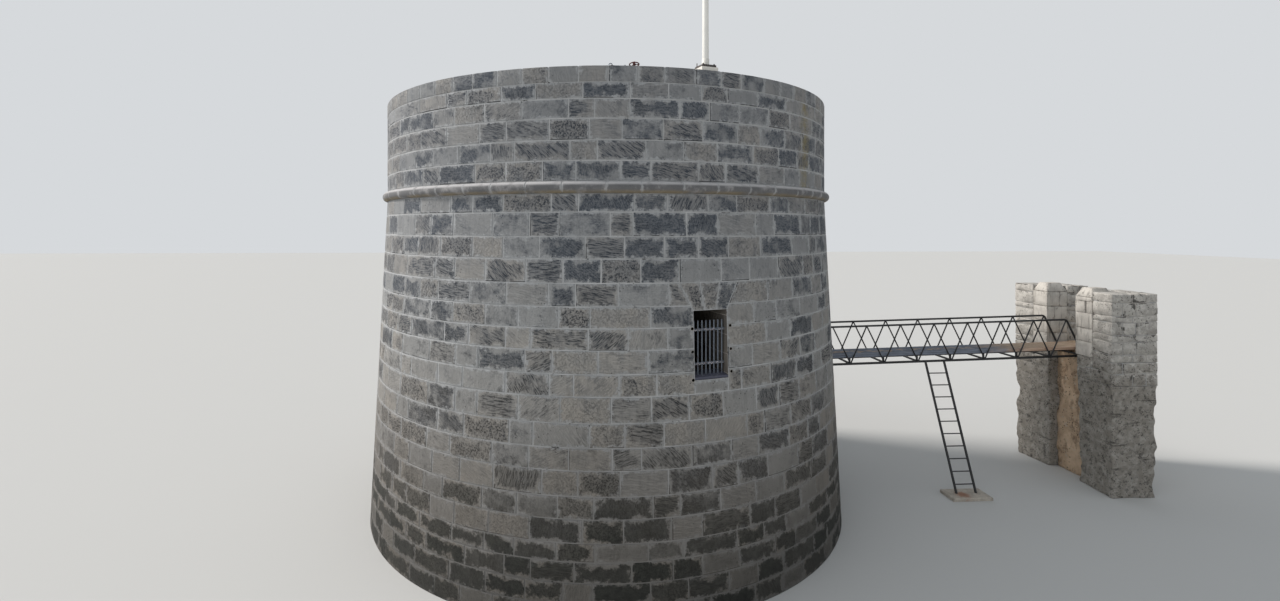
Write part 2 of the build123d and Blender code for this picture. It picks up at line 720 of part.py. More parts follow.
# Ladder, leaning from its pad up to the near truss
truss_side_y = -(BRIDGE_GAUGE + BOTTOM_CHORD) / 2
ladder_x = face_x + LADDER_REACH
ladder_top = Vector(ladder_x, truss_side_y - STILE / 2, rise_z(ladder_x, chord_z))
ladder_foot = Vector(ladder_x + LADDER_SKEW, ladder_top.Y - LADDER_RUN, PAD_SIZE[2])
lean = (ladder_top - ladder_foot).normalized()
ladder_length = (ladder_top - ladder_foot).length
with BuildPart() as ladder:
    for side in (-1, 1):
        stile_foot = ladder_foot + Vector(side * LADDER_WIDTH / 2, 0, 0)
        with BuildSketch(Plane(origin=stile_foot - lean * STILE, x_dir=(1, 0, 0), z_dir=lean)):
            Rectangle(STILE, STILE)
        extrude(amount=ladder_length + 2 * STILE)
    for k in range(RUNGS):
        middle = ladder_foot + lean * (ladder_length - (k + 1) * RUNG_SPACING)
        with BuildSketch(Plane(origin=middle - Vector(LADDER_WIDTH / 2, 0, 0), z_dir=(1, 0, 0))):
            Circle(RUNG / 2)
        extrude(amount=LADDER_WIDTH)
    split(bisect_by=Plane.XY.offset(PAD_SIZE[2]), keep=Keep.TOP)
    split(bisect_by=Plane.XY.offset(ladder_top.Z + STILE / 2), keep=Keep.BOTTOM)
    split(bisect_by=Plane.XZ.offset(-truss_side_y), keep=Keep.TOP)
keep(ladder, "ladder")

with BuildPart() as ladder_pad:
    with BuildSketch():
        with Locations((ladder_foot.X, ladder_foot.Y)):
            Rectangle(PAD_SIZE[0], PAD_SIZE[1])
    extrude(amount=PAD_SIZE[2])
    chamfer(ladder_pad.faces().sort_by(Axis.Z)[-1].edges(), PAD_SIZE[2] / 5)
keep(ladder_pad, "ladder_pad")

# Abutment walls each side of the slot, each with a dressed pier at the slot's corner
ditch_back = ditch_radius + ABUTMENT_THICKNESS
pier_face = ditch_radius - PIER_PROJECTION
cap_taper = degrees(atan(PIER_CAP_INSET / PIER_CAP_HEIGHT))
pier_foot_z = FLOOR_Z
cap_z = PIER_TOP_Z - PIER_CAP_HEIGHT
for side, word in ((-1, "near"), (1, "far")):
    side_middle = side * (SLOT_WIDTH + ABUTMENT_SIDE) / 2
    pier_middle = side * (SLOT_WIDTH + PIER_WIDTH) / 2
    with BuildSketch() as pier_plan:
        with Locations((pier_face + PIER_DEPTH / 2, pier_middle)):
            Rectangle(PIER_DEPTH, PIER_WIDTH)
    with BuildPart() as abutment_wall:
        with BuildSketch():
            Circle(ditch_back)
            Circle(ditch_radius, mode=Mode.SUBTRACT)
            with Locations((ditch_back / 2, side_middle)):
                Rectangle(ditch_back, ABUTMENT_SIDE, mode=Mode.INTERSECT)
        extrude(amount=RIM_Z)
        with BuildSketch(Plane.XY.offset(pier_foot_z)):
            add(pier_plan.sketch)
        extrude(amount=RIM_Z - pier_foot_z, mode=Mode.SUBTRACT)
    keep(abutment_wall, f"abutment_wall_{word}")
    with BuildPart() as gate_pier:
        with BuildSketch(Plane.XY.offset(pier_foot_z)):
            add(pier_plan.sketch)
        extrude(amount=cap_z - pier_foot_z)
        with BuildSketch(Plane.XY.offset(cap_z)):
            add(pier_plan.sketch)
        extrude(amount=PIER_CAP_HEIGHT, taper=cap_taper)
    keep(gate_pier, f"gate_pier_{word}")

# Sill across the slot, stepped to carry the trusses' ends and then the deck's end
ledge_end = recess_x + TRUSS_BEARING
sill_top = rise_z(deck_seat_end, 0)
with BuildPart() as abutment_sill:
    with BuildSketch(Plane.XZ):
        with BuildLine():
            Polyline(
                (recess_x, 0),
                (ditch_back, 0),
                (ditch_back, sill_top),
                (deck_seat_end, sill_top),
                (deck_seat_end, rise_z(deck_seat_end, -DECK_EDGE_HEIGHT)),
                (ledge_end, rise_z(ledge_end, -DECK_EDGE_HEIGHT)),
                (ledge_end, rise_z(ledge_end, bracket_top)),
                (recess_x, rise_z(recess_x, bracket_top)),
                close=True,
            )
        make_face()
    extrude(amount=SLOT_WIDTH / 2, both=True)
    with BuildSketch():
        Circle(ditch_back)
    extrude(amount=RIM_Z, mode=Mode.INTERSECT)
keep(abutment_sill, "abutment_sill")
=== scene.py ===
from itertools import pairwise
from math import atan2, cos, hypot, pi, radians, sin

import bmesh
import bpy
import numpy as np
from mathutils import Matrix, Vector, noise


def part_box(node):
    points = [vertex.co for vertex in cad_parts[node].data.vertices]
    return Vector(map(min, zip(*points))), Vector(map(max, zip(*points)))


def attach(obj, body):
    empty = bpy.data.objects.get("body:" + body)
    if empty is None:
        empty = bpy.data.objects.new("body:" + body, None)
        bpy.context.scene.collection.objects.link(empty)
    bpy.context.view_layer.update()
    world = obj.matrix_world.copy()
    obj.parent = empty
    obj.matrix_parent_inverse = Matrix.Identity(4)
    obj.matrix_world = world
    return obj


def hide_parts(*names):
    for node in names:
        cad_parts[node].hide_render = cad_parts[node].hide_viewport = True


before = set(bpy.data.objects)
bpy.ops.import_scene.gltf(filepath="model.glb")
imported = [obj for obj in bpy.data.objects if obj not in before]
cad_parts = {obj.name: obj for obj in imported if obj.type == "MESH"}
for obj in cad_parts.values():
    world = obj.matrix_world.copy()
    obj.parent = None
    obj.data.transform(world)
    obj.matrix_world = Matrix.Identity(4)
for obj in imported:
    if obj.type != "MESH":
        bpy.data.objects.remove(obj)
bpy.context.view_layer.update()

# Metres throughout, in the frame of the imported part. Azimuths turn from +X towards +Y.

# Camera, read from the photograph: where the eye stands, and where the horizon lies in the picture
PICTURE = (1280, 601)
EYE = (-0.85, -15.73, 6.65)
LOOK_AZIMUTH = 86.9
FOCAL_PIXELS = 605
AXIS_PIXEL_X = 606
HORIZON_PIXEL_Y = 228

# Sizes of the tower, from the frame
BASE_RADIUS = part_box("lower_wall_odd_sectors")[1].x
NECK_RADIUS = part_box("parapet_odd_sectors")[1].x
FLOOR_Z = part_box("lower_wall_odd_sectors")[1].z
STRING_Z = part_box("string_course")[0].z
STRING_TOP_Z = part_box("string_course")[1].z
COPING_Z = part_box("parapet_coping")[0].z
STEP_TOP_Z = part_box("firing_step")[1].z
PLATFORM_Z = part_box("gun_platform")[1].z
PLATFORM_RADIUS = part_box("gun_platform")[1].x
PARAPET_TOP_Z = 9.45
PARAPET_INNER_RADIUS = 3.60
PARAPET_INNER_TOP_Z = 9.51
SILL_LOW, SILL_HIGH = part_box("window_sill")
WINDOW_Z = SILL_LOW.z
WINDOW_HEAD_Z = 5.21
WINDOW_HALF_WIDTH = 0.33
WINDOW_AZIMUTH = atan2(SILL_LOW.y + SILL_HIGH.y, SILL_LOW.x + SILL_HIGH.x)
RUST_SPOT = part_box("ladder_pad")[0].lerp(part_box("ladder_pad")[1], 0.36)
DOOR_HEAD_Z = 5.30
DOOR_HALF_WIDTH = 0.45
ARCH_TOP_Z = 5.70
REFERENCE_RADIUS = (BASE_RADIUS + NECK_RADIUS) / 2

# The bridge's abutment
RIM_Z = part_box("abutment_wall_near")[1].z
SLOT_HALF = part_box("abutment_wall_far")[0].y
ABUTMENT_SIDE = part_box("abutment_wall_far")[1].y - SLOT_HALF
DITCH_RADIUS = hypot(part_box("abutment_wall_far")[0].x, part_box("abutment_wall_far")[1].y)
ABUTMENT_THICKNESS = hypot(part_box("abutment_wall_far")[1].x, SLOT_HALF) - DITCH_RADIUS
PIER_FACE_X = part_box("gate_pier_far")[0].x
PIER_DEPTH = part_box("gate_pier_far")[1].x - PIER_FACE_X
PIER_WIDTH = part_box("gate_pier_far")[1].y - SLOT_HALF
PIER_BACK = PIER_DEPTH - (DITCH_RADIUS - PIER_FACE_X)
PIER_FOOT_Z, PIER_TOP_Z = (corner.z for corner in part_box("gate_pier_far"))
PIER_CAP_Z = 4.87
PIER_CAP_INSET = 0.11
ROCK_TOP_Z = 2.76            # the retaining wall is hewn rock up to here, and coursed rubble above
CORE_DEPTH = 0.10
TRUSS_LEDGE = 0.12           # how far the rock in the slot steps back under the trusses' ends
DECK_SEAT = 0.30             # and how far back its top stone stands
LATCH_SLOT = (0.305, 0.345)  # the upright slot in the near pier's face, measured from the opening
LATCH_DEPTH = 0.08
LATCH_TOP_Z = 4.75

# Stones of the abutment
RUBBLE_JOINTS = [ROCK_TOP_Z, 3.05, PIER_FOOT_Z, 3.52, 3.84, 4.02, 4.34, 4.50, 4.82, RIM_Z]
PIER_JOINTS = [PIER_FOOT_Z, 3.72, 4.06, 4.46, PIER_CAP_Z]
SHALLOW_STONE, DEEP_STONE = 0.30, 0.56
END_STONE, SLOT_STONE = 0.34, 0.30             # thickness of the stones at the stub's end and beside the slot
FACE_RUN, SIDE_RUN, TOP_RUN = 0.55, 0.50, 0.22  # mean lengths of stones on the faces, the ends and the rim
RUBBLE_WORK = {"joint": 0.007, "wear": 2.4, "rough": 0.013}
STEP_WORK = {"joint": 0.0, "tone": 0.5, "wear": 1.5, "rough": 0.006, "cell": 0.06}
PIER_WORK = {"joint": 0.006, "tone": 0.2, "wear": 1.2, "rough": 0.002}
SLOTTED_WORK = {"joint": 0.001, "tone": 0.2, "wear": 1.0, "rough": 0.001}
CAP_WORK = {"joint": 0.006, "tone": 0.2, "wear": 1.6, "rough": 0.002}
BED_INSET = 0.022

# Scale and share of the broad and the narrow ledges in cut rock, and of its coarse and its fine lumps
HEWN_FORMS = [(Vector((0.5, 1.9, 0.5)), 0.75), (Vector((0.9, 5.2, 0.9)), 0.55), (3.1, 0.4), (9.0, 0.2)]
HEWN_DEPTH = 0.044
HEWN_REACH = 0.075           # the greatest throw of the unevenness in cut rock
FADE_HEIGHT = 0.5            # the rock comes out to the rubble's face over this height

# Bed joints of the wall and of the parapet, read from the photograph
WALL_JOINTS = [0, 0.36, 0.716, 1.058, 1.364, 1.754, 2.13, 2.553, 2.93, FLOOR_Z,
               3.78, 4.16, 4.557, 4.93, 5.30, 5.70, 6.117, 6.503, 6.925, STRING_Z]
PARAPET_JOINTS = [STRING_TOP_Z, 7.815, 8.17, 8.542, 8.885, COPING_Z]
INNER_COURSES = 5

# Stones of the tower
STONE_LENGTH = 0.72          # mean length of the wall's stones
SHORTEST_STONE = 0.28
COURSE_STRAY, JOINT_STRAY = 0.08, 0.25         # how far a course and its upright joints stray, in stones
RING_STRAY, RUN_STRAY = 0.12, 0.16             # and the joints of coping, string, paving and rubble
CLEAN_TONES, CRUSTED_TONES = (0.0, 0.50), (0.60, 1.0)
RING_TONES, ARCH_TONES, SILL_TONE = (0.15, 0.65), (0.3, 0.8), 0.2
CELL = 0.10                  # size of the faces that a stone's front is divided into
JOINT_WIDTH = 0.012
JOINT_DEPTH = 0.009
ARRIS = 0.008                # width of the worn edge of a stone
ARRIS_RANGE = (0.7, 1.6)     # how it differs from stone to stone
POINT_STRAY, CHIPPING = 0.2, 0.4  # how far a face's points stray and its edges are chipped, in arrises
CORNER_WEAR = 0.35           # and how far a whole stone's edges are drawn in
STONE_DEPTH = 0.05           # how far the sides of a stone are modelled into the wall
FACE_TILT = 0.0015           # how far a stone's face leans
FACE_HOLLOW = 0.002          # how deep the unevenness of its face is
RING_HOLLOW = 0.0015         # and that of the coping's, the string's and the paving's stones
COPING_STONES = (66, 44)     # in the outer and the inner row
COPING_GAP = 0.008           # between the two rows
STRING_STONES = 50
SLAB_JOINT = 0.010
FLAG_DEPTH = 0.06
SLAB_WEAR, FLAG_WEAR, MIDDLE_WEAR = 0.010, 0.008, 0.006  # how far their corners are worn round
FLAG_RINGS = [(PLATFORM_RADIUS, 2.30, 26), (2.30, 1.55, 19), (1.55, 0.80, 12)]  # radii and number of stones

# Share of crusted stones at some heights, and a clean place right of the window
CRUST_HEIGHTS = [0, 1.3, 2.2, 3.5, 5.0, 6.2, 9.2]
CRUST_SHARES = [0.90, 0.80, 0.50, 0.42, 0.50, 0.68, 0.66]
CLEAN_OFFSET = 0.07          # in radians
CLEAN_HEIGHT = 6.0           # how many metres of height count as one radian round the wall

# Small fittings
HINGE_HOLES = [(0.0716, 0.026, (4.115, 4.51, 4.92)),    # angle from the window's middle, radius and heights
               (-0.0665, 0.027, (4.02, 4.50, 4.90))]
GRILLE_RADIUS = 5.355
GRILLE_RAIL_Z = (4.265, 4.86)
LASHING_HALF = 0.305
LASHING_PITCH = 0.080
LASHING_LIFT = 0.019
LASHING_WIRE = 0.006
FLANGE_THICKNESS = 0.045
FLANGE_HALF = 0.150
FLANGE_CORNER = 0.2          # radius of its corners, as a share of the half width
BOLT_OFFSET = 0.112
BOLT_LENGTHS = (0.075, 0.030, 0.030, 0.030)
WHEEL_TUBE = 0.011
WHEEL_LIFT = 0.060
WHEEL_TILT = radians(-11)
SPOKE_BOW = 0.010
PIN_RADIUS = 0.009

FLOOR_DROP = -0.002          # the studio's floor, under the ground slab
FLAT_REACH = 0.02            # a face whose middle is this close to a surface belongs to it

rng = np.random.default_rng(7)
noise.seed_set(7)


def wall_radius(z):
    """Outer radius of the wall and of the parapet at a height."""
    return BASE_RADIUS + (NECK_RADIUS - BASE_RADIUS) * np.minimum(z / STRING_Z, 1)


def round_axis(radius, angle, z):
    """Points round the tower's axis."""
    return np.stack([radius * np.cos(angle), radius * np.sin(angle), z], axis=-1)


# Surfaces that stones are laid on: u runs along the course, v up it and w out of its face

def on_wall(u, v, w):
    """The tower's outer face; u is measured at the mean radius."""
    return round_axis(wall_radius(v) + w, u / REFERENCE_RADIUS, v)


def inside_parapet(u, v, w):
    """The parapet's inner face."""
    return round_axis(PARAPET_INNER_RADIUS - w, -u / PARAPET_INNER_RADIUS, v)


class Masonry:
    """Stones gathered into one mesh. A point knows its place on its stone, and its stone's size and tone."""

    def __init__(self, name):
        self.name = name
        self.points, self.faces, self.places, self.stones = [], [], [], []
        self.count = 0

    def add_points(self, points, place, stone):
        """The points of one stone, with their places on it. Gives their numbers in the mesh."""
        self.points.append(points.reshape(-1, 3))
        self.places.append(place.reshape(-1, 3))
        added = len(self.points[-1])
        self.stones.append(np.tile(stone, (added, 1)))
        self.count += added
        return self.count - added + np.arange(added)

    def add_faces(self, index, used=slice(None)):
        """The faces between the points of a grid."""
        quads = np.stack([index[:-1, :-1], index[:-1, 1:], index[1:, 1:], index[1:, :-1]], axis=-1)
        self.faces.extend(quads[used].reshape(-1, 4).tolist())

    def stone(self, surface, left, right, low, high, tone):
        """A squared stone between two joints, with worn edges. left and right may lean with height."""
        left_line = left if callable(left) else lambda v: left + 0 * v
        right_line = right if callable(right) else lambda v: right + 0 * v
        middle = np.array([(low + high) / 2])
        width = float(right_line(middle)[0] - left_line(middle)[0]) - JOINT_WIDTH
        height = high - low - JOINT_WIDTH
        across, across_depth = self.steps(width, max(3, round(width / CELL)))
        upward, upward_depth = self.steps(height, max(2, round(height / CELL)))
        t, s = np.meshgrid(upward, across, indexing="ij")
        w = np.minimum.outer(upward_depth, across_depth)
        front = w >= -1e-9
        outer = w > -STONE_DEPTH / 2
        s = s + front * rng.uniform(-POINT_STRAY, POINT_STRAY, s.shape) * ARRIS
        t = t + front * rng.uniform(-POINT_STRAY, POINT_STRAY, t.shape) * ARRIS
        w = w - (outer & ~front) * rng.uniform(0, CHIPPING, w.shape) * ARRIS
        tilt = rng.uniform(-FACE_TILT, FACE_TILT, 2)
        lean = tilt[0] * (2 * s / width - 1) + tilt[1] * (2 * t / height - 1) - abs(tilt).sum()
        w = w - front * rng.uniform(0, FACE_HOLLOW, w.shape) + outer * lean
        v = low + JOINT_WIDTH / 2 + t
        u_left, u_right = left_line(v) + JOINT_WIDTH / 2, right_line(v) - JOINT_WIDTH / 2
        u = u_left + (u_right - u_left) * s / width
        place = np.stack([s - width / 2, t - height / 2, np.full_like(s, rng.uniform(0, 1))], axis=-1)
        index = self.add_points(surface(u, v, w), place, (width / 2, height / 2, tone)).reshape(s.shape)
        used = np.ones((len(upward) - 1, len(across) - 1), bool)
        used[[0, 0, -1, -1], [0, -1, 0, -1]] = False
        self.add_faces(index, used)

    @staticmethod
    def steps(length, cells):
        """Places along one side of a stone, with their depths: side face, worn edge, face, and back again."""
        arris = min(ARRIS * rng.uniform(*ARRIS_RANGE), length / 6)
        inner = np.linspace(2.2 * arris, length - 2.2 * arris, cells + 1)
        places = np.concatenate([[0, 0, arris], inner, [length - arris, length, length]])
        depths = np.concatenate([[-STONE_DEPTH, -arris, 0], 0 * inner, [0, -arris, -STONE_DEPTH]])
        return places, depths

    def ring_stone(self, outline, start, end, joint, tone):
        """A stone swept round the axis from a closed outline of (radius, height), with worn ends."""
        outline = np.array(outline, float)
        centre = outline.mean(axis=0)
        length = (end - start) * centre[0] - joint
        along, ends = self.steps(length, max(3, round(length / CELL)))
        along, ends = along[1:-1], ends[1:-1]
        seam = np.concatenate([[0], np.cumsum(np.hypot(*np.diff(outline, axis=0).T))])
        shrink = 1 + np.outer(ends, 2 / np.ptp(outline, axis=0))
        profile = centre + (outline - centre)[None] * np.maximum(shrink, 0.8)[:, None, :]
        worn = rng.uniform(-RING_HOLLOW, 0, profile.shape[:2])
        profile = profile + worn[..., None] * np.sign(outline - centre)[None]
        angle = start + (joint / 2 + along) / centre[0]
        u = np.repeat((along - length / 2)[:, None], len(outline), axis=1)
        v = np.repeat((seam - seam[-1] / 2)[None], len(along), axis=0)
        place = np.stack([u, v, np.full_like(u, rng.uniform(0, 1))], axis=-1)
        points = round_axis(profile[..., 0], angle[:, None], profile[..., 1])
        index = self.add_points(points, place, (length / 2, seam[-1], tone)).reshape(u.shape)
        self.add_faces(np.concatenate([index, index[:, :1]], axis=1))
        self.faces += [index[0, ::-1].tolist(), index[-1].tolist()]

    def block(self, surface, lows, highs, joint, tone, wear=1.0, rough=0.003, cell=0.14):
        """A whole stone between three pairs of joints, with worn edges and a rough face.

        surface takes places along the course, up it and through the wall. rough is the greatest depth of the
        face's hollows, or a function that moves the places. Each point knows how far the nearest edge is.
        """
        lengths = np.array(highs, float) - np.array(lows, float) - joint
        arris = min(ARRIS * wear, *(lengths / 5))
        axes = [np.concatenate([[0], np.linspace(arris, n - arris, max(2, round(n / cell)) + 1), [n]])
                for n in lengths]
        shape = tuple(len(axis) for axis in axes)
        grid = np.stack(np.meshgrid(*axes, indexing="ij"), axis=-1)
        ends = [np.minimum(np.arange(n), n - 1 - np.arange(n)) == 0 for n in shape]
        outside = np.stack(np.meshgrid(*ends, indexing="ij"), axis=-1)
        sides = outside.sum(axis=-1)
        inward = np.sign(lengths / 2 - grid) * outside
        grid += inward * (arris * CORNER_WEAR * (sides >= 2))[..., None]
        from_edge = np.sort(np.minimum(grid, lengths - grid), axis=-1)[..., 1]
        grid = rough(grid, lengths) if callable(rough) else grid + inward * rng.uniform(0, rough, (*shape, 1))
        used = sides > 0
        at = (np.array(lows, float) + joint / 2 + grid)[used]
        seed = np.full(used.sum(), rng.uniform(0, 1))
        place = np.stack([from_edge[used], 0 * seed, seed], axis=-1)
        index = np.full(shape, -1)
        index[used] = self.add_points(surface(at[:, 0], at[:, 1], at[:, 2]), place, (1, 1, tone))
        for axis in range(3):
            for end, flip in ((0, 1), (-1, -1)):
                sheet = np.moveaxis(index, axis, 0)[end][::flip]
                self.add_faces(sheet[::-1] if axis == 1 else sheet)

    def build(self, material, slot, replaces=()):
        """The finished piece."""
        mesh = bpy.data.meshes.new(self.name)
        mesh.from_pydata(np.concatenate(self.points).tolist(), [], self.faces)
        for name, values in (("place", self.places), ("stone", self.stones)):
            layer = mesh.attributes.new(name, "FLOAT_VECTOR", "POINT")
            layer.data.foreach_set("vector", np.concatenate(values).astype(np.float32).ravel())
        outward = bmesh.new()
        outward.from_mesh(mesh)
        turn_outward(outward, mesh)
        add_piece(self.name, mesh, [material], replaces)


def turn_outward(gathered, mesh, smooth=True):
    """The gathered faces put into a mesh, all of them facing outward."""
    bmesh.ops.recalc_face_normals(gathered, faces=gathered.faces)
    gathered.to_mesh(mesh)
    gathered.free()
    mesh.polygons.foreach_set("use_smooth", [smooth] * len(mesh.polygons))


def add_piece(name, mesh, materials, replaces=()):
    """A mesh as a piece of the part, riding on it."""
    piece = bpy.data.objects.new(name, mesh)
    bpy.context.scene.collection.objects.link(piece)
    for material in materials:
        mesh.materials.append(material)
    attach(piece, "root")
    if replaces:
        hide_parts(*replaces)


def sunk_copy(name, nodes, sink, materials, depth=JOINT_DEPTH):
    """A copy of CAD nodes whose chosen faces are sunk, as the mortar behind the stones.

    sink(middle, normal) says whether a face is one of them. Those faces take the first material.
    """
    copy = bmesh.new()
    for node in nodes:
        copy.from_mesh(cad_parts[node].data)
    bmesh.ops.remove_doubles(copy, verts=copy.verts, dist=1e-5)
    copy.normal_update()
    sunk = {face.index: sink(face.calc_center_median(), face.normal) for face in copy.faces}
    moves = []
    for vertex in copy.verts:
        faces = [face for face in vertex.link_faces if face.calc_area() > 1e-9]
        if any(sunk[face.index] for face in faces):
            normals = np.array([face.normal[:] for face in faces])
            shifts = np.array([-depth if sunk[face.index] else 0.0 for face in faces])
            moves.append((vertex, np.linalg.lstsq(normals, shifts, rcond=0.1)[0]))
    for vertex, move in moves:
        vertex.co += Vector(move)
    for face in copy.faces:
        face.material_index = 0 if sunk[face.index] else 1
    mesh = bpy.data.meshes.new(name)
    copy.to_mesh(mesh)
    copy.free()
    add_piece(name, mesh, materials, nodes)


def add_node(tree, kind, output=0, inputs=None, **settings):
    """One output of a new shader node, whose inputs are values or the outputs of other nodes."""
    node = tree.nodes.new("ShaderNode" + kind)
    for name, value in settings.items():
        setattr(node, name, value)
    for name, value in (inputs or {}).items():
        if isinstance(value, bpy.types.NodeSocket):
            tree.links.new(value, node.inputs[name])
        else:
            node.inputs[name].default_value = value
    return node.outputs[output]


class Finish:
    """A material being made: a ground colour, and coats laid over it.

    Most calls add a shader node and give its output. A scale says how many features of a pattern there are to
    the metre.
    """

    def __init__(self, name, ground, roughness=0.85, metallic=0.0, specular=0.3):
        self.material = bpy.data.materials.new(name)
        self.material.use_nodes = True
        self.tree = self.material.node_tree
        self.shader = self.tree.nodes["Principled BSDF"]
        self.shader.inputs["Roughness"].default_value = roughness
        self.shader.inputs["Metallic"].default_value = metallic
        self.shader.inputs["Specular IOR Level"].default_value = specular
        self.tint = ground
        self.where = self.add("TexCoord", "Object")
        self.x, self.y, self.z = self.add("SeparateXYZ", 0, {0: self.where}).node.outputs

    def add(self, kind, output=0, inputs=None, **settings):
        return add_node(self.tree, kind, output, inputs, **settings)

    def math(self, operation, a, b=0.0):
        return self.add("Math", inputs={0: a, 1: b}, operation=operation)

    def total(self, start, *terms, clamp=False):
        """A value plus others, each times its share. clamp keeps every step of the sum within 0 and 1."""
        for value, share in terms:
            inputs = {0: value, 1: share, 2: start}
            start = self.add("Math", 0, inputs, operation="MULTIPLY_ADD", use_clamp=clamp)
        return start

    def times(self, first, *others):
        for other in others:
            first = self.math("MULTIPLY", first, other)
        return first

    def known(self, name, axis):
        """A number that a point of the masonry knows: its place, or its stone's size and tone."""
        vector = self.add("Attribute", "Vector", attribute_name=name)
        return self.add("SeparateXYZ", axis, {0: vector})

    def inset(self, axis):
        """How far a point is from the nearer side of its stone, along an axis."""
        off_middle = self.math("ABSOLUTE", self.known("place", axis))
        return self.math("SUBTRACT", self.known("stone", axis), off_middle)

    def noise(self, scale, detail=5.0, roughness=0.6, at=None):
        """Uneven values about 0.5. A scale of three numbers draws them out along the axes."""
        at = at or self.where
        if isinstance(scale, tuple):
            at = self.add("VectorMath", 0, {0: at, 1: scale}, operation="MULTIPLY")
            scale = 1
        inputs = {"Vector": at, "Scale": scale, "Detail": detail, "Roughness": roughness}
        return self.add("TexNoise", "Fac", inputs)

    def wander(self, scale, detail=5.0, roughness=0.6):
        """Uneven values about zero."""
        return self.math("SUBTRACT", self.noise(scale, detail, roughness), 0.5)

    def ramp(self, value, low, high):
        """0 below low and 1 above high, or the other way round, with a smooth rise."""
        inputs = {"Value": value, "From Min": low, "From Max": high}
        return self.add("MapRange", 0, inputs, interpolation_type="SMOOTHSTEP")

    def patches(self, scale, low, high, detail=5.0, roughness=0.6):
        """A mask of uneven patches: bare where the noise is below low, full where it is above high."""
        return self.ramp(self.noise(scale, detail, roughness), low, high)

    def spots(self, scale, rim, middle):
        """A mask of round spots, bare at a distance rim from their middles and full at a distance middle."""
        cells = self.add("TexVoronoi", "Distance", {"Vector": self.where, "Scale": scale})
        return self.ramp(cells, rim, middle)

    def blend(self, factor, a, b):
        """A mix of two colours."""
        a, b = (c if isinstance(c, bpy.types.NodeSocket) else (*c, 1) for c in (a, b))
        return self.add("Mix", 2, {0: factor, 6: a, 7: b}, data_type="RGBA")

    def coat(self, mask, colour, strength=1.0):
        """Lays a colour over what is there already, where the mask is full."""
        self.tint = self.blend(self.times(mask, strength), self.tint, colour)

    def roughness(self, value):
        self.tree.links.new(value, self.shader.inputs["Roughness"])

    def done(self, depth=0.0, *heights):
        """The finished material. Its relief has a depth in metres, and sums values times their shares."""
        self.tree.links.new(self.tint, self.shader.inputs["Base Color"])
        if heights:
            relief = {"Height": self.total(0.0, *heights), "Distance": depth}
            self.tree.links.new(self.add("Bump", 0, relief), self.shader.inputs["Normal"])
        return self.material


def shade(red, green, blue):
    """A colour from its values as seen on a screen, 0 to 255."""
    shares = (c / 255 for c in (red, green, blue))
    return tuple(c / 12.92 if c <= 0.04 else ((c + 0.055) / 1.055) ** 2.4 for c in shares)


# Stone colours
CREAM = shade(163, 157, 149)
GREY = shade(154, 154, 153)
DIRTY = shade(126, 126, 125)
BLEACHED = shade(190, 188, 183)
PALE_MORTAR = shade(184, 186, 188)
OLD_MORTAR = shade(154, 157, 160)
WEATHERED = shade(68, 73, 80)
# soot on the crust, and also the painted shade in gaps and pits
SOOT_AND_SHADE = shade(30, 32, 35)
EARTH_AND_DITCH_SHADE = shade(88, 80, 70)
DARK_EARTH_AND_DITCH_SHADE = shade(30, 31, 29)
MOULD = shade(54, 56, 51)
YELLOW = shade(142, 130, 90)
# partly a film on the stone, partly painted blue shade of the sky
FILM_AND_SKY_SHADE = shade(94, 108, 128)

# Where stains and painted shade begin and where they are full: heights, and lengths across or along the
# bridge
FILM_AND_SKY_SHADE_HEIGHTS = (3.6, 7.2)
EARTH_AND_DITCH_SHADE_HEIGHTS = (4.8, 0.8)
MOULD_HEIGHTS = (3.0, 0.9)
FOOT_HEIGHTS = (1.5, 0.1)
PITTED_HEIGHTS = (4.3, 2.7)  # the abutment's rock
COURSED_HEIGHTS = (2.7, 2.9)
STREAK_AZIMUTH = radians(-44.4)
STREAK_HALF = 0.30
RUST_REACH = (0.40, 0.22)
TRODDEN_ACROSS = (0.20, 0.05)
FADED_ALONG = (10.8, 12.2)

# The random number by which a stone is smooth, stroked or speckled, where one kind turns into the next
STROKED_FROM, SPECKLED_FROM = (0.36, 0.44), (0.66, 0.72)


def line_beside(f, axis, seed, spread):
    """A painted shadow line along one side of the stones that a random number picks."""
    chosen = f.math("LESS_THAN", f.math("FRACT", f.times(seed, spread)), 0.15)
    from_side = f.math("ADD", f.known("stone", axis), f.known("place", axis))
    return f.times(f.ramp(from_side, 0.022, 0.012), chosen)


def shadow_lines(f, seed):
    """Painted shadow in the gaps beside some stones and under others, where the mortar has gone."""
    lines = f.math("MAXIMUM", line_beside(f, "X", seed, 73.1), line_beside(f, "Y", seed, 29.3))
    return f.times(lines, f.patches(3.1, 0.40, 0.48, 3))


def tool_marks(f, kind, seed):
    """Masks of the axe's strokes, of specks, of the smooth stones, and of the marks that each kind bears.

    Most strokes are nearly level. Some stones bear strokes, some bear specks, and the smooth ones bear
    a little of both.
    """
    third = f.math("FRACT", f.times(seed, 41.7))
    turn = {"Vector": f.add("Attribute", "Vector", attribute_name="place"),
            "Angle": f.times(f.math("POWER", third, 2.5), 3.0)}
    turned = f.add("VectorRotate", 0, turn, rotation_type="Z_AXIS")
    strokes = f.ramp(f.noise((7, 50, 23), 5, 0.7, turned), 0.46, 0.62)
    specks = f.patches(30, 0.515, 0.575, 5, 0.8)
    smooth = f.ramp(kind, *reversed(STROKED_FROM))
    stroked = f.times(f.ramp(kind, *STROKED_FROM), f.ramp(kind, *reversed(SPECKLED_FROM)))
    speckled = f.ramp(kind, *SPECKLED_FROM)
    faint = f.times(smooth, 0.45)
    marks = f.total(0.0, (strokes, f.math("ADD", stroked, faint)), (specks, f.math("ADD", speckled, faint)))
    return strokes, specks, smooth, marks


